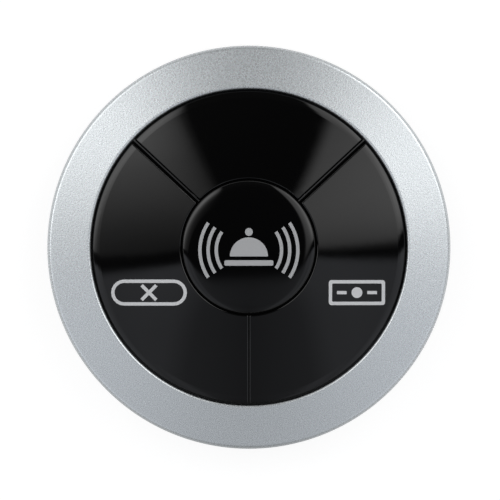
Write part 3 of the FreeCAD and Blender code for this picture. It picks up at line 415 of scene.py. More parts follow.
# %% Battery sleeve
battery_low, battery_high = (corner.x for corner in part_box("battery"))
sleeve = new_finish("printed_battery_sleeve", (0.02, 0.02, 0.025), 0.25, IOR=1.5)
STEEL, BLACK, GOLD = (0.6, 0.59, 0.56), (0.02, 0.021, 0.025), (0.5, 0.3, 0.09)
BANDS = ((0.0, STEEL, 1.0), (0.022, BLACK, 0.0), (0.66, GOLD, 0.0), (0.955, STEEL, 1.0))
tree = sleeve.node_tree
along = mapped(tree, parts_of(tree, COORDINATES[sleeve])["X"], battery_low, battery_high)
for socket, column in (("Base Color", 1), ("Metallic", 2)):
    bands = ramp(tree, along, [(band[0], band[column]) for band in BANDS], "CONSTANT")
    tree.links.new(bands, sockets(sleeve)[socket])
between(sleeve, noise(sleeve, 1200.0, 3.0, stretched(sleeve, (1.0, 6.0, 6.0))), 0.18, 0.38, "Roughness")
FINISHES["battery_jacket"] = sleeve

# %% Give every solid its finish
for name, node in frame["nodes"].items():
    for place in node.material_slots:
        place.material = OWN_FINISHES.get(name) or FINISHES[place.material.name.split(".")[0]]
print("slots with a finish of their own:", len(FINISHES), "and single pieces with one:", len(OWN_FINISHES))

# %% [markdown]
# ## Geometry Nodes: pieces that follow a rule
#
# A Geometry Nodes tree is a small machine with named inputs: change a number and the piece changes. Five
# trees do the repeated work here. They sweep the ring, cut and thread the screws, set a finished piece on a
# list of points, wind a wire, and lay a printed sign on a curved key. Each ends in Realize Instances and Set
# Material, then the result is kept as a plain mesh, so that nothing depends on the tree any more.

# %% Helpers for trees
KINDS = {"object": "NodeSocketObject", "material": "NodeSocketMaterial", "whole": "NodeSocketInt",
         "size": "NodeSocketFloat", "place": "NodeSocketVector"}


def new_tree(name, inputs):
    """A tree with a geometry input, named inputs and a geometry output."""
    tree = bpy.data.node_groups.new(name, "GeometryNodeTree")
    tree.interface.new_socket("Geometry", in_out="INPUT", socket_type="NodeSocketGeometry")
    for label, kind in inputs.items():
        tree.interface.new_socket(label, in_out="INPUT", socket_type=KINDS[kind])
    tree.interface.new_socket("Geometry", in_out="OUTPUT", socket_type="NodeSocketGeometry")
    print("tree:", name, "with inputs", ", ".join(inputs))
    return tree, tree.nodes.new("NodeGroupInput").outputs


def joined(tree, *geometries):
    """One geometry from several."""
    join = add(tree, "GeometryNodeJoinGeometry")
    for geometry in geometries:
        tree.links.new(geometry, join.inputs[0])
    return join.outputs[0]


def circle(tree, points, radius):
    """A round curve."""
    return add(tree, "GeometryNodeCurvePrimitiveCircle", {"Resolution": points, "Radius": radius}).outputs[0]


def helix(tree, points, turns, radius, height):
    """A curve that winds up from the origin at one radius, with so many points to a turn."""
    return add(tree, "GeometryNodeCurveSpiral", {
        "Resolution": points, "Rotations": turns, "Start Radius": radius, "End Radius": radius,
        "Height": height, "Reverse": True}).outputs[0]


def swept(tree, path, profile, **caps):
    """A profile drawn along a path as a mesh."""
    return add(tree, "GeometryNodeCurveToMesh", {"Curve": path, "Profile Curve": profile, **caps}).outputs[0]


def moved(tree, geometry, **changes):
    """A geometry moved, turned or scaled."""
    return add(tree, "GeometryNodeTransform", {"Geometry": geometry, **changes}).outputs[0]


def shape_of(tree, piece):
    """The mesh of an object that is one of the tree's inputs."""
    return add(tree, "GeometryNodeObjectInfo", {"Object": piece}).outputs["Geometry"]


def set_on(tree, points, piece, turn):
    """A piece set on every point, each with its own turn."""
    return add(tree, "GeometryNodeInstanceOnPoints", {
        "Points": points, "Instance": piece, "Rotation": turn}).outputs[0]


def smooth(tree, geometry):
    """Smooth shading over the whole geometry."""
    return add(tree, "GeometryNodeSetShadeSmooth", {"Geometry": geometry}).outputs[0]


def finish_tree(tree, geometry, material):
    """Every tree ends the same way: real mesh, one material."""
    real = add(tree, "GeometryNodeRealizeInstances", {"Geometry": geometry})
    painted = add(tree, "GeometryNodeSetMaterial", {"Geometry": real.outputs[0], "Material": material})
    add(tree, "NodeGroupOutput", {0: painted.outputs[0]})


# %% Helpers that run a tree and handle its meshes
def grow(name, tree, values, start_mesh=None):
    """Runs a tree on a start mesh and keeps what it makes as a plain mesh object at the origin."""
    piece = bpy.data.objects.new(name, start_mesh or bpy.data.meshes.new(name))
    bpy.context.collection.objects.link(piece)
    modifier = piece.modifiers.new("tree", "NODES")
    modifier.node_group = tree
    for item in tree.interface.items_tree:
        if item.in_out == "INPUT" and item.name in values:
            modifier[item.identifier] = values[item.name]
    graph = bpy.context.evaluated_depsgraph_get()
    mesh = bpy.data.meshes.new_from_object(piece.evaluated_get(graph), depsgraph=graph)
    piece.modifiers.clear()
    piece.data = mesh
    mesh.name = name
    print(name, len(mesh.polygons), "faces")
    return piece


def points_mesh(places, turns=None):
    """A mesh of loose points, in metres, for a tree to set pieces on; turns are in degrees about Z."""
    mesh = bpy.data.meshes.new("points")
    mesh.from_pydata([Vector(place) * MM for place in places], [], [])
    if turns:
        turn = mesh.attributes.new("turn", "FLOAT", "POINT")
        turn.data.foreach_set("value", [math.radians(degrees) for degrees in turns])
    return mesh


def blank_of(name, form):
    """Keeps a bmesh as an object, its faces outward, for a tree to work from."""
    bmesh.ops.recalc_face_normals(form, faces=form.faces[:])
    mesh = bpy.data.meshes.new(name)
    form.to_mesh(mesh)
    form.free()
    blank = bpy.data.objects.new(name, mesh)
    bpy.context.collection.objects.link(blank)
    return blank


def discard(*blanks):
    """Removes blanks that a tree has used up."""
    for blank in blanks:
        bpy.data.objects.remove(blank, do_unlink=True)


def against_solid(piece, node):
    """Prints how far a piece's box departs from its solid's."""
    for side, pick, solid in zip(("low", "high"), (min, max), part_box(node)):
        corner = Vector([pick(point.co[i] for point in piece.data.vertices) for i in range(3)])
        print(node, side, "corner against its solid, mm:", [round(v / MM, 3) for v in corner - solid])


# %% [markdown]
# ## Turned blanks
#
# Screw heads and feet are round, so each starts as a profile of radius and height that is spun about its
# axis. The first and last points lie on the axis, which closes the blank. Small arcs on the profile's corners
# catch the light as the real rolled or moulded edges do.

# %% A helper that turns a profile
SPIN_STEPS = 40


def turned(name, profile):
    """A closed solid of revolution from (radius, height) points in mm that start and end on the axis."""
    form = bmesh.new()
    turns = [2.0 * math.pi * i / SPIN_STEPS for i in range(SPIN_STEPS)]
    rings = []
    for radius, height in profile:
        spots = [(radius * MM * math.cos(t), radius * MM * math.sin(t), height * MM) for t in turns]
        rings.append([form.verts.new(spot) for spot in (spots if radius else spots[:1])])
    for low, high in zip(rings, rings[1:]):
        for i in range(SPIN_STEPS):
            around = ((low, i), (low, i + 1), (high, i + 1), (high, i))
            corners = dict.fromkeys(ring[place % len(ring)] for ring, place in around)
            form.faces.new(list(corners)).smooth = True
    return blank_of(name, form)


def arc(centre, radius, start, end, count=5):
    """Points of a round on a profile, in mm and degrees."""
    steps = [math.radians(start + (end - start) * i / count) for i in range(count + 1)]
    return [(centre[0] + radius * math.cos(t), centre[1] + radius * math.sin(t)) for t in steps]


# %% [markdown]
# ## The silver ring
#
# The ring is one moulding: a gently sloping face, a tight round at the bore, a wide one at the rim, and a
# drafted side. Everything the eye sees on it is a highlight that follows a round, and a highlight shows every
# coarse facet. So the section is drawn once, its corners are rounded with a point every few degrees, and a
# tree sweeps it round the axis in small steps. Six snap hooks and three stops inside hold the ring to the
# deck and keep it from turning. They are straight blocks, which the same tree repeats round the axis.

# %% Helpers for a rounded section and a straight block
ROUND_STEP = math.radians(6.0)
SUPPORT = 0.08


def rounded(corners):
    """A closed outline from (x, y, round) corners in mm. Each round becomes an arc, with one support point on
    the straight run at either end, which keeps the shading of the flat faces flat."""
    outline = []
    for i, (x, y, size) in enumerate(corners):
        corner = Vector((x, y, 0.0))
        back = (Vector((*corners[i - 1][:2], 0.0)) - corner).normalized()
        ahead = (Vector((*corners[(i + 1) % len(corners)][:2], 0.0)) - corner).normalized()
        half = back.angle(ahead) / 2.0
        run = size / math.tan(half)
        centre = corner + (back + ahead).normalized() * size / math.sin(half)
        first, last = corner + back * run - centre, corner + ahead * run - centre
        count = math.ceil((math.pi - 2.0 * half) / ROUND_STEP)
        outline.append(corner + back * (run + SUPPORT))
        outline += [centre + first.slerp(last, j / count).normalized() * size for j in range(count + 1)]
        outline.append(corner + ahead * (run + SUPPORT))
    return outline


def loops_mesh(loops, middle=(0.0, 0.0)):
    """Closed loops of (x, y) points in mm as a mesh of edges about a middle, in metres."""
    corners, edges = [], []
    for loop in loops:
        first = len(corners)
        corners += [((x + middle[0]) * MM, (y + middle[1]) * MM, 0.0) for x, y in loop]
        edges += [(first + i, first + (i + 1) % len(loop)) for i in range(len(loop))]
    mesh = bpy.data.meshes.new("outline")
    mesh.from_pydata(corners, edges, [])
    return mesh


def straight_block(name, outline, width):
    """A block whose (radius, height) outline in mm is pulled along Y, half to each side."""
    form = bmesh.new()
    sides = (-width / 2.0, width / 2.0)
    near, far = ([form.verts.new((x * MM, y * MM, z * MM)) for x, z in outline] for y in sides)
    form.faces.new(near)
    form.faces.new(far)
    for i in range(len(outline)):
        j = (i + 1) % len(outline)
        form.faces.new([near[i], near[j], far[j], far[i]])
    return blank_of(name, form)


# %% The tree that sweeps a section round the axis
ring_tree, given = new_tree("turned_ring", {
    "Middle Radius": "size", "Steps": "whole", "Hook": "object", "Hooks": "whole", "First Hook": "size",
    "Stop": "object", "Stops": "whole", "First Stop": "size", "Finish": "material"})
section = add(ring_tree, "GeometryNodeMeshToCurve", {"Mesh": given["Geometry"]})
path = circle(ring_tree, given["Steps"], given["Middle Radius"])
pieces = [smooth(ring_tree, swept(ring_tree, path, section.outputs[0]))]
for block, count, start in (("Hook", "Hooks", "First Hook"), ("Stop", "Stops", "First Stop")):
    spots = add(ring_tree, "GeometryNodePoints", {"Count": given[count]}).outputs[0]
    number = add(ring_tree, "GeometryNodeInputIndex").outputs[0]
    step = maths(ring_tree, "DIVIDE", 2.0 * math.pi, given[count])
    turn = maths(ring_tree, "MULTIPLY_ADD", number, step, given[start])
    pieces.append(set_on(ring_tree, spots, shape_of(ring_tree, given[block]), upward(ring_tree, turn)))
finish_tree(ring_tree, joined(ring_tree, *pieces), given["Finish"])

# %% Turn the ring
ring_low, ring_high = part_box("bezel_ring")
RIM, SKIRT_END, BORE, INSIDE = ring_high.x / MM, ring_low.z / MM, 29.26, 35.4
SLOPE = math.radians(7.0)
FALL = math.tan(SLOPE)
WALL, BORE_WALL, DRAFT = 1.6, 1.2, 0.25
BORE_ROUND, RIM_ROUND, INNER_ROUND, END_ROUND = 0.4, 0.85, 0.2, 0.1
DECK_TOP, DECK_UNDER = 14.2, 13.0
edge = ring_high.z / MM + BORE_ROUND * (FALL + 1.0 / math.cos(SLOPE) - 1.0)
underside = edge - WALL - FALL * (INSIDE - BORE)
corners = [
    (BORE, edge, BORE_ROUND), (RIM - DRAFT, edge - FALL * (RIM - DRAFT - BORE), RIM_ROUND),
    (RIM, SKIRT_END, END_ROUND), (INSIDE, SKIRT_END, END_ROUND), (INSIDE, underside, INNER_ROUND),
    (BORE + BORE_WALL, edge - WALL - FALL * BORE_WALL, INNER_ROUND), (BORE + BORE_WALL, DECK_TOP, END_ROUND),
    (BORE, DECK_TOP, END_ROUND)]
middle = (BORE + RIM) / 2.0
section = loops_mesh([[(point.x - middle, -point.y) for point in rounded(corners)]])
ROOT, HOOK_REACH, HOOK_HEIGHT, HOOK_WIDTH, HOOK_PLAY = 0.2, 0.7, 0.9, 5.0, 0.05
STOP_REACH, STOP_WIDTH = 1.1, 3.0
hook_top = DECK_UNDER - HOOK_PLAY
hook = straight_block("hook", [
    (INSIDE + ROOT, hook_top), (INSIDE - HOOK_REACH, hook_top), (INSIDE, hook_top - HOOK_HEIGHT),
    (INSIDE + ROOT, hook_top - HOOK_HEIGHT)], HOOK_WIDTH)
stop = straight_block("stop", [
    (INSIDE - STOP_REACH, DECK_UNDER + ROOT), (INSIDE + ROOT, DECK_UNDER + ROOT),
    (INSIDE + ROOT, underside + ROOT), (INSIDE - STOP_REACH, underside + ROOT)], STOP_WIDTH)
ring = grow("bezel_ring_turned", ring_tree, {
    "Middle Radius": middle * MM, "Steps": 192, "Hook": hook, "Hooks": 6, "First Hook": math.radians(15.0),
    "Stop": stop, "Stops": 3, "First Stop": math.radians(60.0), "Finish": FINISHES["silver_paint"]}, section)
discard(hook, stop)
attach(ring, "housing")
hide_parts("bezel_ring")
against_solid(ring, "bezel_ring")

# %% [markdown]
# ## Case screws and board screws
#
# Four screws close the case from below and three hold the board. Each is a zinc-plated self-tapping screw: a
# pan head with a cross recess, a plain core and a coarse thread. A coarse thread is a helix with a triangular
# section, which Geometry Nodes winds and joins to the turned blank. Two tapered blades cut the cross, with
# the exact solver, because the quick one loses the blank here. Every screw is turned to a different angle, as
# a hand-held driver leaves it, from a fixed seed.

# %% The screw tree
BLADE_TIP, BLADE_LENGTH, BLADE_START, BLADE_THIN = 0.35 * MM, 1.6 * MM, 0.35 * MM, 0.26
screw_tree, given = new_tree("self_tapping_screws", {
    "Blank": "object", "Core Radius": "size", "Length": "size", "Pitch": "size", "Thread Depth": "size",
    "Head Face": "size", "Blade Reach": "size", "Seed": "whole", "Finish": "material"})
blade = add(screw_tree, "GeometryNodeMeshCone", {
    "Vertices": 4, "Radius Top": BLADE_TIP, "Radius Bottom": given["Blade Reach"], "Depth": BLADE_LENGTH})
square = moved(screw_tree, blade.outputs["Mesh"], Rotation=(0.0, 0.0, math.radians(45.0)))
start = upward(screw_tree, maths(screw_tree, "SUBTRACT", given["Head Face"], BLADE_START))
cut = add(screw_tree, "GeometryNodeMeshBoolean", {
    "Mesh 1": shape_of(screw_tree, given["Blank"])}, operation="DIFFERENCE", solver="EXACT")
for scale in ((1.0, BLADE_THIN, 1.0), (BLADE_THIN, 1.0, 1.0)):
    screw_tree.links.new(moved(screw_tree, square, Translation=start, Scale=scale), cut.inputs["Mesh 2"])
turns = maths(screw_tree, "DIVIDE", given["Length"], given["Pitch"])
ridge = helix(screw_tree, 24, turns, given["Core Radius"], given["Length"])
thread = swept(screw_tree, ridge, circle(screw_tree, 3, given["Thread Depth"]), **{"Fill Caps": True})
angle = add(screw_tree, "FunctionNodeRandomValue", {
    "Min": (0.0, 0.0, 0.0), "Max": (0.0, 0.0, math.pi), "Seed": given["Seed"]}, data_type="FLOAT_VECTOR")
whole = joined(screw_tree, cut.outputs[0], thread)
finish_tree(screw_tree, set_on(screw_tree, given["Geometry"], whole, angle.outputs[0]), given["Finish"])

# %% Turn the blanks and drive the screws
CASE_ORBIT = 30.4
CASE_PLACES = [(CASE_ORBIT, 0.0), (0.0, CASE_ORBIT), (-CASE_ORBIT, 0.0), (0.0, -CASE_ORBIT)]
BOARD_PLACES = [(25.0, 0.0), (-25.0, 0.0), (0.0, 17.0)]
HEAD_ROUND, HEAD_RIM, NECK, TAPER, RUN_OUT, PITCH = 0.7, 0.12, 0.15, 1.2, 1.6, 1.0


def screw_blank(name, head, face, core, length, tip):
    """A pan head that hangs below its seat at height 0, with a core that runs up to a blunt point."""
    crown = arc((head - HEAD_ROUND, face + HEAD_ROUND), HEAD_ROUND, 270.0, 345.0)
    return turned(name, [
        (0, face), (head * 0.35, face), *crown, (head, -HEAD_RIM), (head - 0.08, 0.0), (core + 0.12, 0.0),
        (core, NECK), (core, length - TAPER), (tip, length), (0, length)])


for node, places, head, height, core, length, depth, reach, seed in (
        ("case_screws", CASE_PLACES, 2.1, 1.5, 0.86, 8.0, 0.30, 1.45, 4),
        ("board_screws", BOARD_PLACES, 1.8, 1.2, 0.74, 5.5, 0.27, 1.25, 9)):
    blank = screw_blank(node + "_blank", head, -height, core, length, core * 0.35)
    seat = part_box(node)[0].z / MM + height
    screws = grow(node + "_cut", screw_tree, {
        "Blank": blank, "Core Radius": (core - 0.02) * MM, "Length": (length - RUN_OUT) * MM,
        "Pitch": PITCH * MM, "Thread Depth": depth * MM, "Head Face": -height * MM,
        "Blade Reach": reach * MM, "Seed": seed, "Finish": FINISHES["screw_steel"],
    }, points_mesh([(x, y, seat) for x, y in places]))
    discard(blank)
    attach(screws, "housing")
    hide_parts(node)
    against_solid(screws, node)

# %% [markdown]
# ## Rubber feet
#
# Four soft feet are glued into pockets in the base. A moulded foot has a soft outer edge, a shallow dish in
# the middle so that it grips with its rim, and one fine step where the dish begins. One turned blank is set
# on four points.

# %% The tree that sets a piece on points
set_tree, given = new_tree("piece_on_points", {"Piece": "object", "Finish": "material"})
turn = add(set_tree, "GeometryNodeInputNamedAttribute", {"Name": "turn"}).outputs["Attribute"]
placed = set_on(set_tree, given["Geometry"], shape_of(set_tree, given["Piece"]), upward(set_tree, turn))
finish_tree(set_tree, placed, given["Finish"])

# %% Turn a foot and set four
foot_low, foot_high = (corner.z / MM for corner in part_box("rubber_feet"))
FOOT_PLACES = [(21.2, 21.2), (-21.2, 21.2), (25.4, -16.5), (-25.4, -16.5)]
FOOT, FOOT_ROUND, FOOT_BEVEL = 3.5, 0.35, 0.1
foot_blank = turned("foot_blank", [
    (0, foot_low + 0.22), (1.9, foot_low + 0.2), (2.15, foot_low + 0.06), (2.3, foot_low + 0.01),
    *arc((FOOT - FOOT_ROUND, foot_low + FOOT_ROUND), FOOT_ROUND, 270.0, 360.0),
    (FOOT, foot_high - FOOT_BEVEL), (FOOT - FOOT_BEVEL, foot_high), (0, foot_high)])
feet = grow("rubber_feet_dished", set_tree, {"Piece": foot_blank, "Finish": FINISHES["rubber_grey"]},
            points_mesh([(x, y, 0.0) for x, y in FOOT_PLACES]))
discard(foot_blank)
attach(feet, "housing")
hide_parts("rubber_feet")
against_solid(feet, "rubber_feet")

# %% [markdown]
# ## Capacitors and resistors
#
# Each is a block of fired ceramic whose two ends are dipped in tin, so that they stand a little proud of it.
# One block is built for each kind, with a UV map that runs from end to end: the finish reads it to know where
# the tin is. The tree that set the feet then sets the blocks on the board, each turned by its point's own
# angle.

# %% Build one block of each kind and set them
PROUD, BEVEL, DIPPED = 0.03, 0.05, 0.4


def tinned_block(name, length, width, height):
    """A block along X on z = 0 whose dipped ends stand proud of its middle."""
    half = length / 2.0
    stations = [(-half, BEVEL), (-half + BEVEL, 0.0), (-half + DIPPED, 0.0), (-half + DIPPED + PROUD, PROUD)]
    stations += [(-x, inset) for x, inset in reversed(stations)]
    block = bmesh.new()
    ends = block.loops.layers.uv.new(END_MAP)
    loops = []
    for x, inset in stations:
        side, top = width / 2.0 - inset, height - inset
        outline = [
            (-side, inset + BEVEL), (BEVEL - side, inset), (side - BEVEL, inset), (side, inset + BEVEL),
            (side, top - BEVEL), (side - BEVEL, top), (BEVEL - side, top), (-side, top - BEVEL)]
        loops.append([block.verts.new(Vector((x, y, z)) * MM) for y, z in outline])
    for near, far in zip(loops, loops[1:]):
        for i in range(len(near)):
            block.faces.new((near[i - 1], near[i], far[i], far[i - 1]))
    block.faces.new(loops[0])
    block.faces.new(loops[-1])
    for face in block.faces:
        for corner in face.loops:
            corner[ends].uv = (corner.vert.co.x / (length * MM) + 0.5, 0.0)
    return blank_of(name, block)


BOARD_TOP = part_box("capacitors")[0].z / MM
CHIPS = {
    "capacitors": ((2.0, 1.25, 0.9), "capacitor_tan", TINNED_CERAMIC,
                   ((4.5, 8.0, 0.0), (-4.0, 12.5, 90.0), (18.5, 3.5, 90.0), (6.5, -10.0, 0.0))),
    "resistors": ((2.0, 1.25, 0.55), "resistor_black", TINNED_GLAZE,
                  ((-14.5, 3.0, 90.0), (-7.0, -8.0, 0.0), (9.5, 3.5, 0.0), (-16.8, 3.0, 90.0))),
}
for node, (size, slot, finish, places) in CHIPS.items():
    block = tinned_block(node + "_block", *size)
    spots = points_mesh([(x, y, BOARD_TOP) for x, y, _ in places], [turn for _, _, turn in places])
    chips = grow(node + "_tinned", set_tree, {"Piece": block, "Finish": finish}, spots)
    discard(block)
    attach(chips, "housing")
    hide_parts(node)
    against_solid(chips, node)

# %% [markdown]
# ## The antenna
#
# The transmitter's antenna is a coil of enamelled copper wire that stands on one leg in the board. It could
# be a curve with a bevel; a tree that winds a spiral and sweeps a round wire along it does the same with
# named sizes.

# %% Wind the antenna
coil_tree, given = new_tree("wound_wire", {
    "Coil Radius": "size", "Pitch": "size", "Turns": "size", "Wire Radius": "size", "Leg": "size",
    "Start": "place", "Direction": "place", "Finish": "material"})
length = maths(coil_tree, "MULTIPLY", given["Pitch"], given["Turns"])
coil = helix(coil_tree, 32, given["Turns"], given["Coil Radius"], length)
laid = moved(coil_tree, coil, Rotation=(0.0, math.radians(90.0), 0.0))
drop = maths(coil_tree, "MULTIPLY", given["Coil Radius"], -1.0)
foot_end = maths(coil_tree, "SUBTRACT", drop, given["Leg"])
leg = add(coil_tree, "GeometryNodeCurvePrimitiveLine", {
    "Start": upward(coil_tree, foot_end), "End": upward(coil_tree, drop)})
both = joined(coil_tree, laid, leg.outputs[0])
round_wire = circle(coil_tree, 12, given["Wire Radius"])
wire = smooth(coil_tree, swept(coil_tree, both, round_wire, **{"Fill Caps": True}))
standing = moved(coil_tree, wire, Translation=given["Start"], Rotation=given["Direction"])
finish_tree(coil_tree, standing, given["Finish"])

WIRE, COIL, CLEARANCE = 0.4, 1.7, 0.3
axis_height = BOARD_TOP + CLEARANCE + WIRE + COIL
antenna = grow("antenna_coil_wound", coil_tree, {
    "Coil Radius": COIL * MM, "Pitch": 1.5 * MM, "Turns": 7.0, "Wire Radius": WIRE * MM, "Leg": 2.9 * MM,
    "Start": Vector((-18.0, 15.6, axis_height)) * MM, "Direction": Vector((0.0, 0.0, math.radians(31.0))),
    "Finish": FINISHES["antenna_copper"]})
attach(antenna, "housing")
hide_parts("antenna_coil")
against_solid(antenna, "antenna_coil")

# %% [markdown]
# ## Printed signs
#
# Each key carries a sign in pale grey ink: a service bell on the middle key, a cross in a frame on the left
# one, a bill with its lines on the right one. Pad-printed ink is a film on a curved face. A texture could
# paint it, but a thin film of real mesh keeps a crisp edge at any distance. The outlines are drawn flat as
# closed loops. The tree fills them, divides the fill finely, drops every point on the key with a ray, and
# gives the film its thickness.

# %% The tree that prints a sign on a key
RAY_START, RAY_LENGTH, WELD = 30.0 * MM, 60.0 * MM, 0.002 * MM
sign_tree, given = new_tree("printed_sign", {
    "Key": "object", "Film": "size", "Fineness": "whole", "Ink": "material"})
loops = add(sign_tree, "GeometryNodeMeshToCurve", {"Mesh": given["Geometry"]})
filled = add(sign_tree, "GeometryNodeFillCurve", {"Curve": loops.outputs[0]}, mode="TRIANGLES")
fine = add(sign_tree, "GeometryNodeSubdivideMesh", {"Mesh": filled.outputs[0], "Level": given["Fineness"]})
where = add(sign_tree, "GeometryNodeInputPosition").outputs[0]
ray = add(sign_tree, "GeometryNodeRaycast", {
    "Target Geometry": shape_of(sign_tree, given["Key"]),
    "Source Position": vector_maths(sign_tree, "ADD", where, (0.0, 0.0, RAY_START)),
    "Ray Direction": (0.0, 0.0, -1.0), "Ray Length": RAY_LENGTH})
sunk = upward(sign_tree, maths(sign_tree, "MULTIPLY", given["Film"], 0.5))
lowest = vector_maths(sign_tree, "SUBTRACT", ray.outputs["Hit Position"], sunk)
laid = add(sign_tree, "GeometryNodeSetPosition", {"Geometry": fine.outputs[0], "Position": lowest}).outputs[0]
raised = add(sign_tree, "GeometryNodeExtrudeMesh", {
    "Mesh": laid, "Offset": (0.0, 0.0, 1.0), "Offset Scale": given["Film"], "Individual": False})
turned_over = add(sign_tree, "GeometryNodeFlipFaces", {"Mesh": laid})
sealed = add(sign_tree, "GeometryNodeMergeByDistance", {
    "Geometry": joined(sign_tree, raised.outputs["Mesh"], turned_over.outputs[0]), "Distance": WELD})
finish_tree(sign_tree, sealed.outputs[0], given["Ink"])


# %% Outlines of the signs, in mm about each sign's middle
STROKE = 0.62


def ring_loop(centre, radius, count=40):
    """A round loop."""
    return arc(centre, radius, 0.0, 360.0, count)[:-1]


def box_loop(low, high, corner):
    """A rectangle from corner to corner, its corners rounded."""
    (left, bottom), (right, top) = (place + corner for place in low), (place - corner for place in high)
    rounds = (((right, bottom), 270.0), ((right, top), 0.0), ((left, top), 90.0), ((left, bottom), 180.0))
    return [point for centre, start in rounds for point in arc(centre, corner, start, start + 90.0)]


def frame_loops(width, height, corner, inner_corner):
    """A frame round the middle, as wide as a pen stroke, from its half width and half height."""
    return [box_loop((inset - width, inset - height), (width - inset, height - inset), size)
            for inset, size in ((0.0, corner), (STROKE, inner_corner))]


def band_loop(radius, start, end, centre=(0.0, -0.6)):
    """A piece of a ring between two angles, as wide as a pen stroke."""
    outer, inner = radius + STROKE / 2.0, radius - STROKE / 2.0
    return arc(centre, outer, start, end, 16) + arc(centre, inner, end, start, 16)


def cross_loop(reach):
    """A diagonal cross as one outline."""
    near = STROKE / math.sqrt(2.0)
    far, close = reach + near / 2.0, reach - near / 2.0
    corners = []
    for turn in range(4):
        cosine, sine = math.cos(turn * math.pi / 2.0), math.sin(turn * math.pi / 2.0)
        corners += [(x * cosine - y * sine, x * sine + y * cosine)
                    for x, y in ((near, 0.0), (far, close), (close, far))]
    return corners


BELL = [
    arc((0.0, -1.75), 3.5, 0.0, 180.0, 28),
    box_loop((-4.5, -3.45), (4.5, -2.45), 0.3),
    ring_loop((0.0, 2.75), 0.72),
    *[band_loop(radius, side - 34.0, side + 34.0) for radius in (6.0, 7.5, 9.0) for side in (0.0, 180.0)],
]
CROSS = [*frame_loops(7.0, 2.4, 2.4, 2.4 - STROKE), cross_loop(1.35)]
BILL = [
    *frame_loops(5.2, 2.3, 0.5, 0.2), ring_loop((0.0, 0.0), 1.0),
    box_loop((-3.7, -0.3), (-1.9, 0.3), 0.1), box_loop((1.9, -0.3), (3.7, 0.3), 0.1)]

# %% Print the three signs
# The middle sign takes the ink with painted shade, and the side signs take the ink with painted light.
for sign_name, loops, middle, key_name, ink_name in (
        ("sign_service_bell", BELL, (0.0, 0.0), "centre_key", "sign_ink_painted_shade"),
        ("sign_cross", CROSS, (-18.4, -8.4), "left_key", "sign_ink_painted_light"),
        ("sign_bill", BILL, (19.9, -8.4), "right_key", "sign_ink_painted_light")):
    sign = grow(sign_name, sign_tree, {
        "Key": frame["nodes"][key_name], "Film": 0.05 * MM, "Fineness": 3, "Ink": INKS[ink_name]},
        loops_mesh(loops, middle))
    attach(sign, key_name)

# %% [markdown]
# ## Camera
#
# The camera looks almost straight down from 0.6 m. The lens is set so that a millimetre on the keys covers a
# known number of pixels, and a small shift puts the object where it stands in the frame.

# %% Camera
ELEVATION = math.radians(89.5)
DISTANCE = 0.6
AIM = Vector((0.0, 0.0, 16.9 * MM))
PIXELS_PER_MM = 5.424
FRAME = 500
MIDDLE = (248.9, 247.0)
camera_data = bpy.data.cameras.new("camera")
camera = bpy.data.objects.new("camera", camera_data)
bpy.context.collection.objects.link(camera)
camera_data.sensor_width = 36.0
camera_data.lens = PIXELS_PER_MM * DISTANCE / MM * camera_data.sensor_width / FRAME
camera.location = AIM + DISTANCE * Vector((0.0, -math.cos(ELEVATION), math.sin(ELEVATION)))
camera.rotation_euler = (math.radians(90.0) - ELEVATION, 0.0, 0.0)
camera_data.shift_x = (FRAME / 2.0 - MIDDLE[0]) / FRAME
camera_data.shift_y = -(FRAME / 2.0 - MIDDLE[1]) / FRAME
camera_data.clip_start = 0.01
bpy.context.scene.camera = camera
print("lens", round(camera_data.lens, 1))

# %% [markdown]
# ## Light
#
# A glossy black key shows the light above it like a mirror, so what is seen on it is where that light is
# bright, where it ends and how softly. Softboxes could stand side by side, but area lamps that overlap hide
# each other. Here one area lamp is the whole ceiling, and three patches on its face are the softboxes: one to
# the left, one to the right, and a weak one on the near side, with dark gaps between them. Each patch is a
# ramp across the table times a ramp along it. The patches' edges fall on the keys as the soft borders between
# grey and black. Their far parts brighten only what slopes towards them, the rims of the keys and the paint
# of the ring.

# %% A patch of brightness on the ceiling
ROOF = 1.0
REACH = 1.3


def brightness(tree, place, stops):
    """Brightness by place: the stops are (metres, brightness), and the level beyond the ends stays the same.
    Returns a ramp that peaks at 1, and its peak."""
    low, high, peak = stops[0][0], stops[-1][0], max(level for _, level in stops)
    shares = [((stop - low) / (high - low), level / peak) for stop, level in stops]
    return ramp(tree, mapped(tree, place, low, high), shares), peak


def patch(tree, place, across, along, cut_off, leans, tint):
    """One softbox on the ceiling: a ramp across the table times a ramp along it, in its tint. The first lean
    turns its side edge and the second its end edge, as the edges of a tilted softbox look from below."""
    x, y = place["X"], place["Y"]
    side, side_peak = brightness(tree, maths(tree, "MULTIPLY_ADD", y, -leans[0], x), across)
    end, end_peak = brightness(tree, maths(tree, "MULTIPLY_ADD", x, -leans[1], y), along)
    level = maths(tree, "MULTIPLY", maths(tree, "MULTIPLY", side, end), side_peak * end_peak)
    if cut_off:
        level = maths(tree, "MULTIPLY", level, brightness(tree, y, cut_off)[0])
    return vector_maths(tree, "SCALE", tint, level)


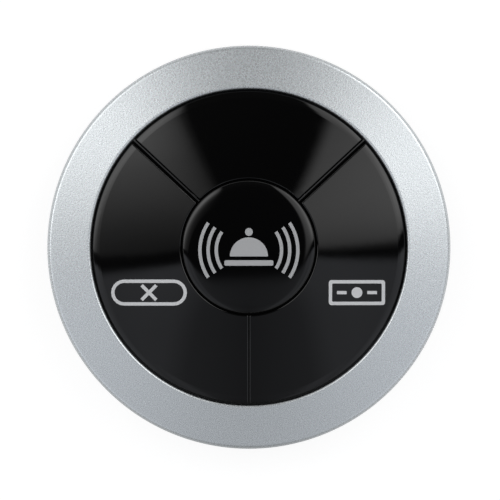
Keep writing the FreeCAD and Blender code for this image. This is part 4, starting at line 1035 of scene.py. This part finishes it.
# %% The two softboxes and the near fill
LEFT_ACROSS = [
    (-REACH, 1.0), (-0.8, 1.0), (-0.55, 0.85), (-0.4, 0.87), (-0.3, 0.95), (-0.2, 1.0), (-0.146, 0.96),
    (-0.113, 0.88), (-0.086, 0.76), (-0.066, 0.65), (-0.046, 0.48), (-0.03, 0.28), (-0.022, 0.12),
    (-0.006, 0.01)]
LEFT_ALONG = [
    (0.078, 0.0), (0.088, 0.08), (0.097, 0.13), (0.131, 0.21), (0.162, 0.31), (0.19, 0.45), (0.231, 0.7),
    (0.276, 1.0), (0.3, 1.3), (0.34, 1.7), (0.43, 2.35), (0.6, 2.4), (0.9, 1.5), (REACH, 1.0)]
LEFT_END = [(-0.022, 0.03), (-0.014, 0.2), (-0.009, 0.7), (-0.001, 1.0)]
RIGHT_ACROSS = [
    (0.083, 0.01), (0.09, 0.03), (0.094, 0.12), (0.099, 0.25), (0.104, 0.42), (0.111, 0.68), (0.119, 0.86),
    (0.16, 0.98), (0.24, 1.2), (0.34, 1.6), (0.44, 2.0), (0.6, 2.0), (0.86, 1.4), (REACH, 1.0)]
RIGHT_ALONG = [
    (-0.047, 0.0), (-0.037, 0.08), (-0.033, 0.2), (-0.029, 0.34), (-0.022, 0.52), (-0.012, 0.66),
    (0.008, 0.8), (0.028, 0.92), (0.053, 1.02), (0.083, 1.12), (0.13, 1.2), (0.2, 1.2), (0.26, 1.1),
    (0.36, 1.3), (0.55, 1.4), (0.9, 1.2), (REACH, 0.9)]
FILL_HALF = [
    (0.0, 0.19), (0.09, 0.25), (0.13, 0.28), (0.18, 0.47), (0.23, 0.5), (0.3, 0.45), (0.4, 0.6), (0.52, 0.68),
    (REACH, 0.9)]
FILL_ACROSS = [(-place, level) for place, level in reversed(FILL_HALF[1:])] + FILL_HALF
FILL_ALONG = [
    (-REACH, 0.8), (-0.8, 0.85), (-0.6, 0.95), (-0.4, 1.08), (-0.172, 1.0), (-0.081, 1.12), (-0.0454, 1.12),
    (-0.038, 0.95), (-0.032, 0.6), (-0.026, 0.1), (-0.017, 0.0)]
PATCHES = (
    (LEFT_ACROSS, LEFT_ALONG, LEFT_END, (-0.42, 0.42), (1.0, 1.0, 1.0)),
    (RIGHT_ACROSS, RIGHT_ALONG, None, (0.23, 0.17), (1.0, 1.0, 1.0)),
    (FILL_ACROSS, FILL_ALONG, None, (0.0, 0.05), (0.9, 0.93, 1.0)),
)

# %% Hang the ceiling
ceiling = bpy.data.lights.new("ceiling", "AREA")
ceiling.shape = "SQUARE"
ceiling.size = 2.0 * REACH
ceiling.energy = math.pi * ceiling.size ** 2
ceiling.use_nodes = True
tree = ceiling.node_tree
place = parts_of(tree, add(tree, "ShaderNodeNewGeometry").outputs["Position"])
left, right, fill = (patch(tree, place, *sizes) for sizes in PATCHES)
light = vector_maths(tree, "ADD", vector_maths(tree, "ADD", left, right), fill)
tree.links.new(light, tree.nodes["Emission"].inputs["Color"])
holder = bpy.data.objects.new("ceiling", ceiling)
holder.location = (0.0, 0.0, ROOF)
bpy.context.collection.objects.link(holder)
print("ceiling lamp:", round(ceiling.size, 2), "m wide,", len(PATCHES), "patches")

# %% [markdown]
# ## Surroundings
#
# Round the ceiling lamp is a pale room seen only low down: near the horizon a reflection finds a pale wall,
# and overhead it finds a dark ceiling. An image of a real room could stand there, but a few ramps are easier
# to steer. The camera itself sees plain white. Light from below the horizon stands for what a white table
# throws back up.

# %% How bright the room is to each side
LEVEL_MIDDLE, LEVEL_SIDES, LEVEL_BEHIND = 0.55, 0.45, 0.2


def side_level(tree, vector):
    """The room is brighter to the left and right, and a little brighter behind the object than before it."""
    parts = parts_of(tree, vector_maths(tree, "NORMALIZE", vector))
    sides = maths(tree, "MULTIPLY_ADD", maths(tree, "ABSOLUTE", parts["X"]), LEVEL_SIDES, LEVEL_MIDDLE)
    return maths(tree, "MULTIPLY_ADD", parts["Y"], LEVEL_BEHIND, sides)


# %% Surroundings
HORIZON, FROM_BELOW, FROM_ABOVE = 0.1, 0.55, 0.2
MIRRORED = ((0.0, 0.75), (0.25, 0.6), (0.5, 0.22), (0.75, 0.02), (1.0, 0.02))
world = bpy.data.worlds.new("studio")
bpy.context.scene.world = world
world.use_nodes = True
tree, background = world.node_tree, world.node_tree.nodes["Background"]
direction = add(tree, "ShaderNodeTexCoord").outputs["Generated"]
height = parts_of(tree, direction)["Z"]
in_gloss = maths(tree, "MULTIPLY", ramp(tree, height, MIRRORED), side_level(tree, direction))
in_light = mapped(tree, height, -HORIZON, HORIZON, FROM_BELOW, FROM_ABOVE)
ray = add(tree, "ShaderNodeLightPath").outputs
seen = maths(tree, "MAXIMUM", ray["Is Camera Ray"], ray["Is Transmission Ray"])
strength = mixed(tree, seen, mixed(tree, ray["Is Glossy Ray"], in_light, in_gloss), 1.0)
tree.links.new(strength, background.inputs["Strength"])
background.inputs["Color"].default_value = WHITE
bpy.context.scene.view_settings.view_transform = "Standard"
print("world:", world.name)

# %% [markdown]
# ## Floor
#
# The table is white paper. It glows a little for the camera, which keeps it white without more light on the
# object, and it still takes the object's shadow. Diffuse light passes it, so that the underside isn't left in
# the dark, and from below the paper is clear, so that the feet, the screws and the battery door can be seen.

# %% Floor
CAMERA_GLOW, GLOSS_GLOW, EYE_HEIGHT = 0.88, 0.55, 0.03
bpy.ops.mesh.primitive_plane_add(size=6.0, location=(0, 0, 0))
floor = bpy.context.object
floor.name = "floor"
floor.visible_diffuse = False
paper = new_finish("floor_paper", (0.2, 0.2, 0.2), 0.9)
between(paper, noise(paper, 300.0), 0.85, 0.95, "Roughness")
tree = paper.node_tree
ray = add(tree, "ShaderNodeLightPath").outputs
above = vector_maths(tree, "ADD", COORDINATES[paper], (0.0, 0.0, EYE_HEIGHT))
in_gloss = maths(tree, "MULTIPLY", ray["Is Glossy Ray"], side_level(tree, above))
dimmed = maths(tree, "MULTIPLY", in_gloss, GLOSS_GLOW)
strength = maths(tree, "MULTIPLY_ADD", ray["Is Camera Ray"], CAMERA_GLOW, dimmed)
glow = add(tree, "ShaderNodeEmission", {"Color": WHITE, "Strength": strength})
lit = add(tree, "ShaderNodeAddShader", {0: tree.nodes["Principled BSDF"].outputs[0], 1: glow.outputs[0]})
from_below = add(tree, "ShaderNodeNewGeometry").outputs["Backfacing"]
clear = add(tree, "ShaderNodeBsdfTransparent")
cover = add(tree, "ShaderNodeMixShader", {"Fac": from_below, 1: lit.outputs[0], 2: clear.outputs[0]})
tree.links.new(cover.outputs[0], tree.nodes["Material Output"].inputs["Surface"])
floor.data.materials.append(paper)
